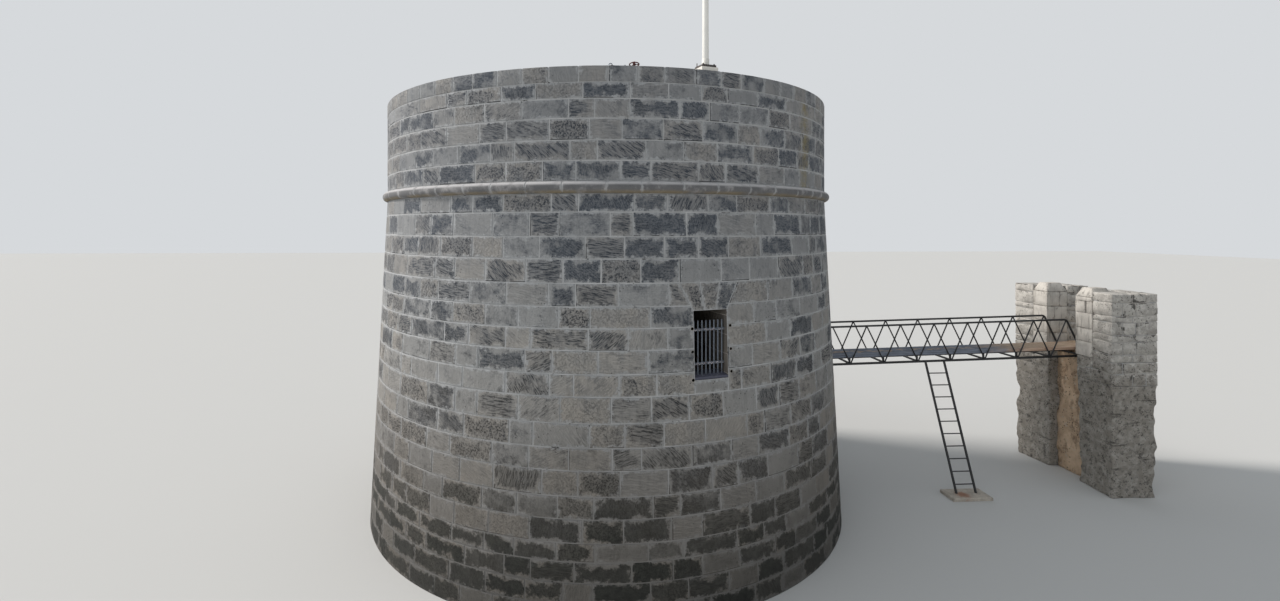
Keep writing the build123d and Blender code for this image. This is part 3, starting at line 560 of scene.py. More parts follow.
def clean_coats(f, kind, grain):
    """Cream and dirt over the grey stone, bleached grain, and the faint run of rain."""
    f.coat(f.ramp(kind, 0.2, 0.8), CREAM)
    f.coat(f.patches(2.3, 0.36, 0.68, 6), DIRTY, 0.55)
    f.coat(grain, BLEACHED, 0.36)
    f.coat(f.patches((15, 15, 1.4), 0.48, 0.66, 5, 0.65), DIRTY, 0.34)
    f.coat(f.patches(0.45, 0.38, 0.66, 3), DIRTY, 0.30)


def ashlar(name, ground_stain_and_shade=True, streak=False):
    """Weathered limestone blocks.

    A grey crust lies in the middle of the stones, darkest in the strokes of the axe or in the pits of the
    stone. A blue-grey tint dulls the upper wall, partly a film and partly painted blue shade of the sky, and
    mortar is smeared raggedly over the stones' edges.
    """
    f = Finish(name, GREY)
    to_edge = f.math("MINIMUM", f.inset("X"), f.inset("Y"))
    seed, tone = f.known("place", "Z"), f.known("stone", "Z")
    kind = f.math("FRACT", f.times(seed, 17.3))
    strokes, specks, smooth, marks = tool_marks(f, kind, seed)
    grain = f.noise(48, 7, 0.75)
    clean_coats(f, kind, grain)

    # The crust, feathered towards the joints, and stray marks on the clean stones
    coarse = f.noise(6.5, 5, 0.65)
    wander = f.math("SUBTRACT", coarse, 0.5)
    ragged = f.total(to_edge, (wander, 0.22), (f.wander(26, 5, 0.7), 0.09))
    cloud = f.total(0.0, (f.noise(3.4, 5, 0.62), 0.75), (f.noise(13, 4), 0.25), (tone, 0.42))
    spread = f.ramp(f.total(ragged, (f.wander(2.9, 3), 0.42)), 0.0, 0.075)
    texture = f.total(0.16, (smooth, 0.24), (coarse, 0.42), (marks, 0.68), clamp=True)
    sooty = f.math("MAXIMUM", marks, f.patches(1.7, 0.42, 0.68))
    crust_colour = f.blend(f.times(sooty, 0.82), WEATHERED, SOOT_AND_SHADE)
    f.coat(f.times(f.ramp(cloud, 0.60, 0.84), spread, texture), crust_colour, 0.98)
    stray = f.times(f.math("MAXIMUM", specks, strokes), f.patches(2.6, 0.52, 0.66, 3), spread)
    f.coat(stray, WEATHERED, 0.45)
    # Pits in the stone, darkened partly by dirt and partly by painted shade
    pits = f.times(f.spots(17, 0.22, 0.10), f.patches(1.9, 0.50, 0.62, 3))
    f.coat(pits, SOOT_AND_SHADE, 0.8)
    # A blue-grey tint on the upper wall: partly a film on the stone, partly painted blue shade of the sky
    f.coat(f.ramp(f.z, *FILM_AND_SKY_SHADE_HEIGHTS), FILM_AND_SKY_SHADE, 0.18)

    # Mortar: thin lines along the joints, ragged smears over the edges, and painted shadow in the gaps where
    # it has gone
    thin = f.times(f.ramp(f.total(to_edge, (wander, 0.07)), 0.018, 0.004), 0.60)
    wide = f.times(f.ramp(ragged, 0.046, 0.002), f.patches(1.5, 0.30, 0.54, 3), 0.66)
    smear = f.math("MAXIMUM", thin, wide)
    f.coat(smear, f.blend(f.patches(13, 0.3, 0.75), PALE_MORTAR, OLD_MORTAR))
    f.coat(shadow_lines(f, seed), SOOT_AND_SHADE, 0.8)
    if streak:
        yellow_streak(f)
    # earth and damp at the foot of the wall, partly painted shade of the ditch
    if ground_stain_and_shade:
        foot_damp_and_shade(f, f.times(spread, tone))
    f.roughness(f.total(0.78, (grain, 0.18)))
    return f.done(0.009, (marks, -0.6), (grain, 0.5), (pits, -1.2), (f.noise(14), 0.5), (smear, 0.4))


def foot_damp_and_shade(f, crusted):
    """Earth and damp, and painted shade of the ditch, that darken the foot of the wall, the crusted stones
    most.
    """
    height = f.total(f.z, (f.wander(0.9), 1.4))
    mould = f.blend(f.patches(9, 0.30, 0.70, 6, 0.7), DARK_EARTH_AND_DITCH_SHADE, MOULD)
    f.coat(f.ramp(height, *EARTH_AND_DITCH_SHADE_HEIGHTS), EARTH_AND_DITCH_SHADE, 0.62)
    f.coat(f.times(f.ramp(height, *MOULD_HEIGHTS), crusted), mould, 0.94)
    f.coat(f.ramp(height, *FOOT_HEIGHTS), DARK_EARTH_AND_DITCH_SHADE, 0.34)


def yellow_streak(f):
    """The run of yellow lichen down the right of the parapet."""
    turn = f.math("SUBTRACT", f.math("ARCTAN2", f.y, f.x), STREAK_AZIMUTH)
    away = f.math("ABSOLUTE", f.times(turn, NECK_RADIUS))
    ragged = f.total(away, (f.wander(2.6, 7, 0.68), 0.75))
    f.coat(f.times(f.ramp(ragged, STREAK_HALF, 0.0), f.patches(8, 0.32, 0.56, 6, 0.7)), YELLOW, 0.66)


def mortar(name, base=PALE_MORTAR, ground_stain_and_shade=False):
    """Old lime mortar, sandy, with painted shade in the gaps where it has fallen out."""
    f = Finish(name, base, roughness=0.95)
    sand = f.noise(90, 4)
    gaps = f.patches(4.5, 0.62, 0.68, 6, 0.7)
    f.coat(f.patches(2, 0.3, 0.7), OLD_MORTAR)
    f.coat(sand, shade(200, 194, 186), 0.4)
    # earth and damp at the foot of the wall, partly painted shade of the ditch
    if ground_stain_and_shade:
        foot_damp_and_shade(f, 0.15)
    # painted shade in the gaps
    f.coat(gaps, shade(48, 46, 45), 0.85)
    return f.done(0.008, (sand, 0.3), (gaps, -1))


def inner_masonry(name):
    """The plain coursed stone of the rooms and reveals, which nothing but the openings shows."""
    f = Finish(name, shade(116, 110, 103))
    flat = f.add("CombineXYZ", 0, {"X": f.times(f.math("ARCTAN2", f.y, f.x), 3.0), "Y": f.z})
    joints = f.add("TexBrick", "Fac", {
        "Vector": flat, "Scale": 1.0, "Mortar Size": 0.012, "Mortar Smooth": 0.6,
        "Brick Width": 0.62, "Row Height": 0.34})
    f.coat(f.patches(2.4, 0.3, 0.7), shade(88, 85, 82))
    f.coat(f.noise(40), shade(142, 135, 127), 0.4)
    f.coat(joints, shade(160, 154, 147))
    return f.done(0.006, (f.noise(30), 0.4), (joints, -0.6))


def string_stone(name):
    """The bead: pale on top, partly bleached and partly painted light from above, crusted on its belly, and
    yellowed underneath.
    """
    f = Finish(name, shade(148, 147, 148))
    facing = f.add("SeparateXYZ", "Z", {0: f.add("NewGeometry", "Normal")})
    grain = f.noise(60, 6)
    f.coat(f.patches(3, 0.35, 0.65), shade(122, 122, 125))
    crust = f.times(f.patches(2.8, 0.36, 0.52, 6, 0.7), f.ramp(facing, 0.66, 0.20))
    f.coat(f.times(crust, f.total(0.6, (f.noise(36, 5, 0.8), 0.5), clamp=True)), shade(62, 66, 72), 0.9)
    # Pale on the upward faces: partly bleached stone, partly painted light from above
    f.coat(f.times(f.ramp(facing, 0.30, 0.75), f.patches(5, 0.25, 0.50)), shade(198, 197, 198), 0.85)
    f.coat(f.ramp(f.total(f.inset("X"), (f.wander(9), 0.12)), 0.040, 0.0), PALE_MORTAR, 0.6)
    f.coat(f.times(f.ramp(facing, -0.35, -0.85), f.patches(2.2, 0.3, 0.6)), shade(128, 112, 78), 0.75)
    f.coat(grain, shade(190, 184, 176), 0.25)
    pits = f.times(f.spots(30, 0.28, 0.08), f.patches(4, 0.48, 0.6))
    return f.done(0.006, (grain, 0.5), (pits, -1))


def rubble(name):
    """Coral limestone: pale and limewashed at the rim, darker and more pitted down the cut rock."""
    f = Finish(name, shade(184, 180, 173), roughness=0.95)
    depth = f.ramp(f.total(f.z, (f.wander(1.3), 2.4)), *PITTED_HEIGHTS)
    f.coat(f.times(f.known("place", "Z"), f.noise(2.0, 4)), shade(146, 142, 137))
    f.coat(depth, shade(134, 128, 119), 0.8)
    f.coat(f.times(f.patches(5, 0.42, 0.64, 7, 0.7), f.total(0.9, (depth, -0.6))), shade(206, 202, 195))
    f.coat(f.ramp(f.total(f.noise(8, 7, 0.75), (depth, 0.05)), 0.56, 0.70), shade(72, 69, 66), 0.85)
    # Holes in the coral stone, darkened with painted shade
    holes = f.times(f.spots(19, 0.34, 0.10), f.ramp(f.total(f.noise(3.3), (depth, 0.05)), 0.44, 0.60))
    f.coat(holes, shade(36, 34, 32), 0.9)
    f.coat(f.times(f.patches((0.9, 0.9, 7), 0.60, 0.68, 5, 0.7), depth), shade(58, 55, 52), 0.7)

    # Lime smeared over the stones' edges, and painted shade in the voids where it has gone, in the coursed
    # rubble only
    coursed = f.ramp(f.z, *COURSED_HEIGHTS)
    ragged = f.total(f.known("place", "X"), (f.wander(9), 0.12))
    smear = f.times(f.ramp(ragged, 0.034, 0.0), f.patches(1.6, 0.66, 0.44), coursed)
    f.coat(smear, shade(208, 204, 197), 0.85)
    voids = f.times(f.ramp(ragged, 0.030, 0.012), f.patches(2.3, 0.52, 0.58, 4), coursed)
    f.coat(voids, shade(52, 49, 45), 0.85)
    return f.done(0.016, (f.noise(24, 7, 0.75), 1), (holes, -0.9))


def dressed(name):
    """Pale dressed stone with a thin limewash, dirt running down it and chips out of its edges."""
    f = Finish(name, shade(200, 195, 187))
    f.coat(f.patches(3.4, 0.35, 0.68, 6), shade(170, 165, 158))
    f.coat(f.noise(45), shade(216, 212, 204), 0.35)
    f.coat(f.patches((14, 14, 1.6), 0.52, 0.70, 5, 0.65), shade(104, 99, 94), 0.6)
    chips = f.times(f.ramp(f.known("place", "X"), 0.03, 0.0), f.patches(11, 0.50, 0.60, 5, 0.7))
    f.coat(chips, shade(120, 114, 107), 0.7)
    return f.done(0.006, (f.noise(40, 6), 0.5), (chips, -0.8))


def warm_rock(name):
    """The face under the bridge's end, stained orange by rust and earth."""
    f = Finish(name, shade(216, 190, 162), roughness=0.95)
    f.coat(f.patches(2.4, 0.35, 0.65, 6), shade(186, 160, 134))
    f.coat(f.patches((3.5, 3.5, 2.3), 0.50, 0.62, 7, 0.72), shade(124, 102, 84), 0.7)
    f.coat(f.patches(7, 0.55, 0.66, 7, 0.75), shade(196, 186, 170), 0.7)
    # Holes in the rock, darkened with painted shade
    holes = f.times(f.spots(14, 0.32, 0.10), f.patches(3, 0.40, 0.56))
    f.coat(holes, shade(38, 32, 28), 0.9)
    return f.done(0.022, (f.noise(16, 8, 0.75), 1), (holes, -1))


def flagstone(name):
    """Worn paving, with lichen on it."""
    f = Finish(name, shade(158, 150, 141))
    f.coat(f.known("place", "Z"), shade(134, 130, 126))
    f.coat(f.patches(3, 0.40, 0.66, 6), shade(112, 109, 106))
    f.coat(f.times(f.patches(6, 0.58, 0.66, 7, 0.75), f.patches(1.3, 0.4, 0.6)), shade(62, 62, 60), 0.7)
    f.coat(f.noise(60), shade(182, 175, 165), 0.4)
    return f.done(0.004, (f.noise(45, 6, 0.7), 1))


def plain_stone(name, base=shade(142, 137, 131)):
    """Stone with no joints."""
    f = Finish(name, base)
    f.coat(f.patches(2.6, 0.35, 0.68, 6), shade(108, 105, 102))
    f.coat(f.noise(50), shade(178, 171, 161), 0.4)
    return f.done(0.005, (f.noise(40, 6, 0.7), 1))


def painted_steel(name, paint, rust_amount=0.5, roughness=0.45):
    """Brushed paint on steel, chipped and rusting in patches."""
    f = Finish(name, paint, roughness, specular=0.5)
    rust_limit = 0.72 - 0.2 * rust_amount
    rusted = f.patches(7, rust_limit, rust_limit + 0.06, 7, 0.75)
    f.coat(f.noise(4), tuple(c * 1.5 + 0.01 for c in paint), 0.5)
    f.coat(rusted, f.blend(f.noise(30), shade(96, 54, 33), shade(62, 38, 28)))
    f.roughness(f.total(roughness, (rusted, 0.9 - roughness)))
    return f.done(0.0015, (f.noise(28, 3), 0.3), (rusted, f.noise(90)))


def faded_end(f):
    """The outer end of the bridge, where the paint has gone."""
    return f.ramp(f.total(f.x, (f.noise(3.2, 6, 0.68), 1.8)), *FADED_ALONG)


def bridge_boards(name):
    """Boards under grey-blue paint, trodden through along the middle and bare at the outer end."""
    f = Finish(name, shade(122, 129, 141), roughness=0.8)
    grain = f.noise((6, 60, 60), 6, 0.65)
    wood = f.blend(f.ramp(grain, 0.35, 0.65), shade(198, 176, 154), shade(156, 134, 114))
    trodden = f.ramp(f.math("ABSOLUTE", f.y), *TRODDEN_ACROSS)
    f.coat(f.patches(3, 0.35, 0.65), shade(98, 104, 115))
    f.coat(f.ramp(f.total(f.noise(5, 7, 0.7), (trodden, 0.10)), 0.58, 0.66), wood, 0.7)
    f.coat(faded_end(f), wood)
    return f.done(0.003, (grain, 1))


def bridge_edge(name):
    """The deck's edge: grey-blue paint, faded and rusted to a pale pink towards the abutment."""
    f = Finish(name, shade(132, 139, 152), roughness=0.6, specular=0.4)
    streaks = f.noise((2.5, 30, 30))
    streaked = f.ramp(streaks, 0.35, 0.65)
    rust = f.patches(9, 0.62, 0.68, 7, 0.75)
    f.coat(streaked, shade(104, 110, 122))
    f.coat(faded_end(f), f.blend(streaked, shade(208, 182, 160), shade(168, 138, 118)))
    f.coat(rust, shade(96, 56, 36), 0.85)
    return f.done(0.002, (streaks, 0.4), (rust, 0.8))


def concrete(name):
    """The ladder's pad, pitted, with rust run down from the foot of the left stile."""
    f = Finish(name, shade(196, 188, 176), roughness=0.9)
    f.coat(f.patches(6, 0.35, 0.65, 6), shade(164, 156, 145))
    f.coat(f.spots(30, 0.3, 0.1), shade(122, 116, 108), 0.5)
    away = f.add("VectorMath", "Value", {0: f.where, 1: RUST_SPOT}, operation="DISTANCE")
    f.coat(f.ramp(f.total(away, (f.noise(12), 0.3)), *RUST_REACH), shade(140, 88, 58), 0.75)
    return f.done(0.004, (f.noise(40, 7, 0.7), 1))


def iron(name):
    """Galvanised bars gone dull, blue-grey with a little rust."""
    f = Finish(name, shade(132, 140, 150), roughness=0.5, metallic=0.3, specular=0.5)
    scale = f.noise(25, 6)
    rust = f.patches(11, 0.58, 0.66, 7, 0.7)
    f.coat(scale, shade(84, 92, 104))
    f.coat(rust, shade(92, 62, 46), 0.7)
    f.roughness(f.total(0.5, (rust, 0.35)))
    return f.done(0.002, (scale, 1))


def twisted_wire(name):
    """Wire pale in turns, partly bright metal and partly painted highlights, and dull and rusty in others."""
    f = Finish(name, shade(84, 90, 98), roughness=0.5, metallic=0.2, specular=0.5)
    # pale patches: partly bright metal, partly painted highlights
    f.coat(f.patches(14, 0.40, 0.56, 4), shade(186, 180, 184))
    f.coat(f.patches(22, 0.58, 0.64), shade(112, 72, 58))
    return f.done(0.001, (f.noise(70), 1))


def slate(name):
    """The blue-grey sill, split along its bed and dusted with lime."""
    f = Finish(name, shade(98, 99, 114), roughness=0.7)
    layers = f.noise((9, 9, 90))
    f.coat(layers, shade(66, 68, 80))
    f.coat(f.patches(8, 0.50, 0.68, 6), shade(128, 129, 133), 0.35)
    return f.done(0.003, (layers, 1))


def timber(name, base, along):
    """Weathered boards, with grain along one axis."""
    f = Finish(name, base, roughness=0.8)
    grain = f.noise(along, 6, 0.65)
    f.coat(f.ramp(grain, 0.35, 0.65), tuple(c * 0.5 for c in base))
    f.coat(f.noise(2.3, 2), tuple(c * 1.35 for c in base), 0.4)
    return f.done(0.003, (grain, 1))


def dark_hole(name):
    """The shadow in a drilled hole."""
    f = Finish(name, shade(10, 9, 8), roughness=1.0, specular=0.0)
    f.coat(f.noise(60), shade(26, 22, 20))
    return f.done()


def course_joints(length, number):
    """Upright joints of one course of a round wall, half a stone on from the course below."""
    stones = round(length / STONE_LENGTH)
    pitch = length / stones
    shift = (number % 2) / 2 + rng.uniform(-COURSE_STRAY, COURSE_STRAY)
    return [(k + shift + rng.uniform(-JOINT_STRAY, JOINT_STRAY)) * pitch - length / 2 for k in range(stones)]


def stone_tone(z, u):
    """How crusted a stone is. More are dark low down and high up the wall, and few beside the window."""
    dark_share = np.interp(z, CRUST_HEIGHTS, CRUST_SHARES)
    beside = hypot(u / REFERENCE_RADIUS - WINDOW_AZIMUTH - CLEAN_OFFSET, (z - WINDOW_HEAD_Z) / CLEAN_HEIGHT)
    dark_share *= np.interp(beside, [0.12, 0.30], [0.1, 1.0])
    return rng.uniform(*(CRUSTED_TONES if rng.uniform() < dark_share else CLEAN_TONES))


class Gap:
    """An opening in the wall that the courses stop at, with a flat arch over it."""

    def __init__(self, azimuth, half_width, low, high, splay):
        self.azimuth, self.half_width = azimuth, half_width
        self.low, self.high = low, high
        self.splay = splay

    def edge(self, side):
        """The line of one side of the opening, and above its head the splayed end of the arch."""
        def line(v):
            half_width = self.half_width + self.splay * np.maximum(v - self.high, 0)
            return REFERENCE_RADIUS * (self.azimuth + side * np.arcsin(half_width / wall_radius(v)))
        return line


WINDOW = Gap(WINDOW_AZIMUTH, WINDOW_HALF_WIDTH, WINDOW_Z, WINDOW_HEAD_Z, 0.52)
DOOR = Gap(0.0, DOOR_HALF_WIDTH, FLOOR_Z, DOOR_HEAD_Z, 0.42)


def lay_round_wall(masonry, surface, length, low, high, number, gaps=()):
    """One course of a round wall, stopping at the gaps."""
    joints = course_joints(length, number)
    middle = (low + high) / 2
    for gap in gaps:
        left, right = (gap.edge(side)(middle) for side in (-1, 1))
        joints = [j for j in joints if not left - SHORTEST_STONE < j < right + SHORTEST_STONE]
    for start, end in pairwise(joints + [joints[0] + length]):
        crossed = [gap for gap in gaps if start < REFERENCE_RADIUS * gap.azimuth < end]
        if crossed:
            masonry.stone(surface, start, crossed[0].edge(-1), low, high, stone_tone(middle, start))
            masonry.stone(surface, crossed[0].edge(1), end, low, high, stone_tone(middle, end))
        else:
            masonry.stone(surface, start, end, low, high, stone_tone(middle, (start + end) / 2))


def lay_flat_arch(masonry, gap, stones):
    """Splayed stones over an opening."""
    def joint_line(share):
        return lambda v: gap.edge(-1)(v) + (gap.edge(1)(v) - gap.edge(-1)(v)) * share

    for k in range(stones):
        start, end = joint_line(k / stones), joint_line((k + 1) / stones)
        masonry.stone(on_wall, start, end, gap.high, ARCH_TOP_Z, rng.uniform(*ARCH_TONES))


def tower_stones():
    """The wall below the string course, and the parapet above it."""
    ashlar_finish = ashlar("ashlar_blocks")
    parapet_finish = ashlar("parapet_blocks", ground_stain_and_shade=False, streak=True)
    around = 2 * pi * REFERENCE_RADIUS
    lower, upper = Masonry("lower_wall_stones"), Masonry("upper_wall_stones")
    for number, (low, high) in enumerate(pairwise(WALL_JOINTS)):
        gaps = [gap for gap in (WINDOW, DOOR) if low < ARCH_TOP_Z - 0.01 and high > gap.low + 0.01]
        lay_round_wall(lower if high <= FLOOR_Z + 0.01 else upper, on_wall, around, low, high, number, gaps)
    under_sill = max(z for z in WALL_JOINTS if z < WINDOW_Z)
    upper.stone(on_wall, WINDOW.edge(-1), WINDOW.edge(1), under_sill, WINDOW_Z, SILL_TONE)
    lay_flat_arch(upper, WINDOW, 3)
    lay_flat_arch(upper, DOOR, 5)
    lower.build(ashlar_finish, "ashlar")
    upper.build(ashlar_finish, "ashlar")

    parapet, inner = Masonry("parapet_stones"), Masonry("parapet_inner_stones")
    for number, (low, high) in enumerate(pairwise(PARAPET_JOINTS)):
        lay_round_wall(parapet, on_wall, around, low, high, number)
    for number, (low, high) in enumerate(pairwise(np.linspace(STEP_TOP_Z, COPING_Z, INNER_COURSES + 1))):
        lay_round_wall(inner, inside_parapet, 2 * pi * PARAPET_INNER_RADIUS, low, high, number)
    parapet.build(parapet_finish, "parapet_stone")
    inner.build(ashlar("inner_parapet_blocks", ground_stain_and_shade=False), "parapet_stone")


def outwardness(middle, normal):
    """How squarely a face looks away from the tower's axis, from -1 to 1."""
    return normal.dot(Vector((middle.x, middle.y, 0)).normalized())


def tower_core():
    """The mortar between the stones, with the rooms' own faces behind it."""
    finishes = (mortar("lime_mortar", ground_stain_and_shade=True), inner_masonry("inner_masonry"))

    def outer_face(middle, normal):
        off_wall = hypot(middle.x, middle.y) - wall_radius(middle.z)
        return abs(off_wall) < FLAT_REACH and outwardness(middle, normal) > 0.5

    def parapet_face(middle, normal):
        off_inside = hypot(middle.x, middle.y) - PARAPET_INNER_RADIUS
        return outer_face(middle, normal) or abs(off_inside) < FLAT_REACH and abs(normal.z) < 0.5

    walls = ["lower_wall_odd_sectors", "lower_wall_even_sectors", "door_head_wall"]
    walls += [f"upper_wall_{k}" for k in range(1, 9)]
    sunk_copy("wall_core", walls, outer_face, finishes)
    parapets = ["parapet_odd_sectors", "parapet_even_sectors"]
    sunk_copy("parapet_core", parapets, parapet_face, finishes)


def slab_outline(inner, outer, low, inner_top, outer_top, worn):
    """The closed outline of a slab in (radius, height), with its corners worn round."""
    corners = np.array([(inner, low), (outer, low), (outer, outer_top), (inner, inner_top)], float)
    points = []
    for back, here, forward in zip(np.roll(corners, 1, axis=0), corners, np.roll(corners, -1, axis=0)):
        start, end = (here + (side - here) / np.linalg.norm(side - here) * worn for side in (back, forward))
        for share in (0, 0.5, 1):
            points.append((1 - share) ** 2 * start + 2 * share * (1 - share) * here + share ** 2 * end)
    return points


def lay_ring(masonry, outline, stones, joint, shift=0.0):
    """A ring of stones swept round the axis."""
    pitch = 2 * pi / stones
    joints = [(k + shift + rng.uniform(-RING_STRAY, RING_STRAY)) * pitch for k in range(stones)]
    for start, end in pairwise(joints + [joints[0] + 2 * pi]):
        masonry.ring_stone(outline, start, end, joint, rng.uniform(*RING_TONES))


def coping_top(radius):
    """Height of the coping, which falls outward."""
    slope = (PARAPET_INNER_TOP_Z - PARAPET_TOP_Z) / (NECK_RADIUS - PARAPET_INNER_RADIUS)
    return PARAPET_TOP_Z + slope * (NECK_RADIUS - radius)


def coping():
    """The coping in two rows of slabs."""
    slabs = Masonry("coping_stones")
    middle = (NECK_RADIUS + PARAPET_INNER_RADIUS) / 2
    rows = ((NECK_RADIUS, middle + COPING_GAP / 2), (middle - COPING_GAP / 2, PARAPET_INNER_RADIUS))
    for row, (outer, inner) in enumerate(rows):
        heights = (COPING_Z + 0.004, coping_top(inner), coping_top(outer))
        outline = slab_outline(inner, outer, *heights, SLAB_WEAR)
        lay_ring(slabs, outline, COPING_STONES[row], SLAB_JOINT, row / 2)
    slabs.build(ashlar("coping_blocks", ground_stain_and_shade=False), "parapet_stone")

    def open_face(middle, normal):
        return normal.z > 0.9 or abs(normal.z) < 0.1 and abs(outwardness(middle, normal)) > 0.9

    bed = mortar("coping_mortar")
    sunk_copy("coping_core", ["parapet_coping"], open_face, (bed, bed))


def string_course():
    """The half-round bead of bedded stones."""
    bead = Masonry("string_stones")
    half = (STRING_TOP_Z - STRING_Z) / 2
    back = NECK_RADIUS - 0.2
    outline = [(back, STRING_TOP_Z - 0.004), (back, STRING_Z + 0.004)]
    outline += [(NECK_RADIUS + half * cos(a), STRING_Z + half + half * sin(a) * 0.985)
                for a in np.linspace(-pi / 2, pi / 2, 11)]
    lay_ring(bead, outline, STRING_STONES, 0.0)
    bead.build(string_stone("string_course_stone"), "string_stone", ["string_course"])


def platform_flags():
    """Flagstones laid in rings round four middle stones."""
    flags = Masonry("platform_flags")
    half = SLAB_JOINT / 2
    heights = (PLATFORM_Z - FLAG_DEPTH, PLATFORM_Z, PLATFORM_Z)
    for outer, inner, stones in FLAG_RINGS:
        outline = slab_outline(inner + half, outer - half, *heights, FLAG_WEAR)
        lay_ring(flags, outline, stones, SLAB_JOINT, rng.uniform())
    lay_ring(flags, slab_outline(0.02, FLAG_RINGS[-1][1] - half, *heights, MIDDLE_WEAR), 4, SLAB_JOINT)
    flags.build(flagstone("flagstones"), "inner_stone")
    sunk_copy("platform_bed", ["gun_platform"], lambda middle, normal: normal.z > 0.9,
              (mortar("bed_mortar"), plain_stone("platform_side")))


def split_run(start, end, mean):
    """A run divided into uneven stones, as pairs of joints."""
    count = max(1, round((end - start) / mean))
    inner = [start + (end - start) * (k + rng.uniform(-RUN_STRAY, RUN_STRAY)) / count
             for k in range(1, count)]
    return list(pairwise([start, *inner, end]))


def bed_wander(along, up):
    """How far the rubble's beds rise and fall along the wall. They are level at a pier's foot and the rim."""
    share = np.interp(up, [ROCK_TOP_Z, 3.05, PIER_FOOT_Z, 3.7, 4.6, RIM_Z], [0, 1, 0, 1, 1, 0])
    return share * (0.022 * np.sin(2.6 * along + 1.9 * up) + 0.012 * np.sin(6.3 * along - 2.7 * up))


def abutment_face(side):
    """Places in one abutment wall: along it from the slot, up it, and through it from its round face."""
    def surface(along, up, through):
        up = up + bed_wander(along + 0.7 * through * side, up)
        y = SLOT_HALF + along
        x = np.sqrt((DITCH_RADIUS + through) ** 2 - y ** 2)
        return np.stack([x, side * y, up], axis=-1)
    return surface


def lay_abutment_course(masonry, side, low, high, deep_corners):
    """One course of an abutment wall, as blocks round its four faces. The corner stones bond by turns."""
    width, thickness = ABUTMENT_SIDE, ABUTMENT_THICKNESS
    front, back = (DEEP_STONE, SHALLOW_STONE) if deep_corners else (SHALLOW_STONE, DEEP_STONE)
    inside = thickness - back
    slot_edge, pier_back = (PIER_WIDTH, PIER_BACK) if low >= PIER_FOOT_Z else (0.0, 0.0)

    def lay(along, through):
        masonry.block(abutment_face(side), (along[0], low, through[0]), (along[1], high, through[1]),
                      tone=rng.uniform(), **RUBBLE_WORK)

    for run in split_run(slot_edge, width, FACE_RUN):
        lay(run, (0.0, front))
    for run in split_run(0.0, width, FACE_RUN):
        lay(run, (inside, thickness))
    for run in split_run(front, inside, SIDE_RUN):
        lay((width - END_STONE, width), run)
    for run in split_run(max(front, pier_back), inside, SIDE_RUN):
        lay((0.0, SLOT_STONE), run)
    if high == RIM_Z:
        middle = (front + inside) / 2
        for run in split_run(SLOT_STONE, width - END_STONE, TOP_RUN):
            lay(run, (front, middle))
            lay(run, (middle, inside))


def lay_rubble_bed(masonry, side):
    """The mortar the rubble is bedded in, a joint's depth inside its faces."""
    inset = BED_INSET
    width, thickness, top = ABUTMENT_SIDE - inset, ABUTMENT_THICKNESS - inset, RIM_Z - inset
    for lows, highs in (
            ((inset, ROCK_TOP_Z, inset), (width, PIER_FOOT_Z, thickness)),
            ((inset, PIER_FOOT_Z, PIER_BACK + inset), (width, top, thickness)),
            ((PIER_WIDTH + inset, PIER_FOOT_Z, inset), (width, top, PIER_BACK + inset))):
        masonry.block(abutment_face(side), lows, highs, 0.0, 0.5)


def hewn(places, lengths):
    """A squared block's places, moved sideways to where cutting the rock left them, within the block."""
    field = [sum((share * noise.noise_vector(p * scale) for scale, share in HEWN_FORMS), Vector())
             for p in map(Vector, places.reshape(-1, 3).tolist())]
    depth = HEWN_DEPTH * np.interp(places[..., 1:2], [lengths[1] - FADE_HEIGHT, lengths[1]], [1, 0.3])
    shift = np.clip(HEWN_REACH * np.array(field).reshape(places.shape) / HEWN_DEPTH, -1, 1) * depth
    moved = places * (1 - 2 * depth / lengths) + depth + shift
    moved[..., 1] = places[..., 1]
    return moved


def lay_rock(masonry, surface, lows, highs):
    """One mass of hewn rock."""
    masonry.block(surface, lows, highs, joint=0.0, tone=0.5, wear=2.0, rough=hewn, cell=0.055)


def slot_rock():
    """The rock across the slot, stepped under the ends of the trusses and of the deck."""
    low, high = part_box("abutment_sill")
    corners = [v.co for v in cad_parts["abutment_sill"].data.vertices]

    def surface(across, up, through):
        return np.stack([low.x + through, across, up], axis=-1)

    def top_at(x):
        return max(corner.z for corner in corners if abs(corner.x - x) < 0.005)

    ledge_z, seat_z = top_at(low.x), top_at(low.x + TRUSS_LEDGE)
    back = high.x - low.x
    rock = Masonry("slot_rock")
    wide, tight = SLOT_HALF + 2 * HEWN_DEPTH, SLOT_HALF + 0.012
    lay_rock(rock, surface, (-wide, 0, 0), (wide, ledge_z, back))
    for foot, top, start in ((ledge_z - 0.1, seat_z, TRUSS_LEDGE), (seat_z - 0.1, high.z, DECK_SEAT)):
        rock.block(surface, (-tight, foot, start), (tight, top, back - 0.03), **STEP_WORK)
    rock.build(warm_rock("slot_rock"), "rubble_stone", ["abutment_sill"])


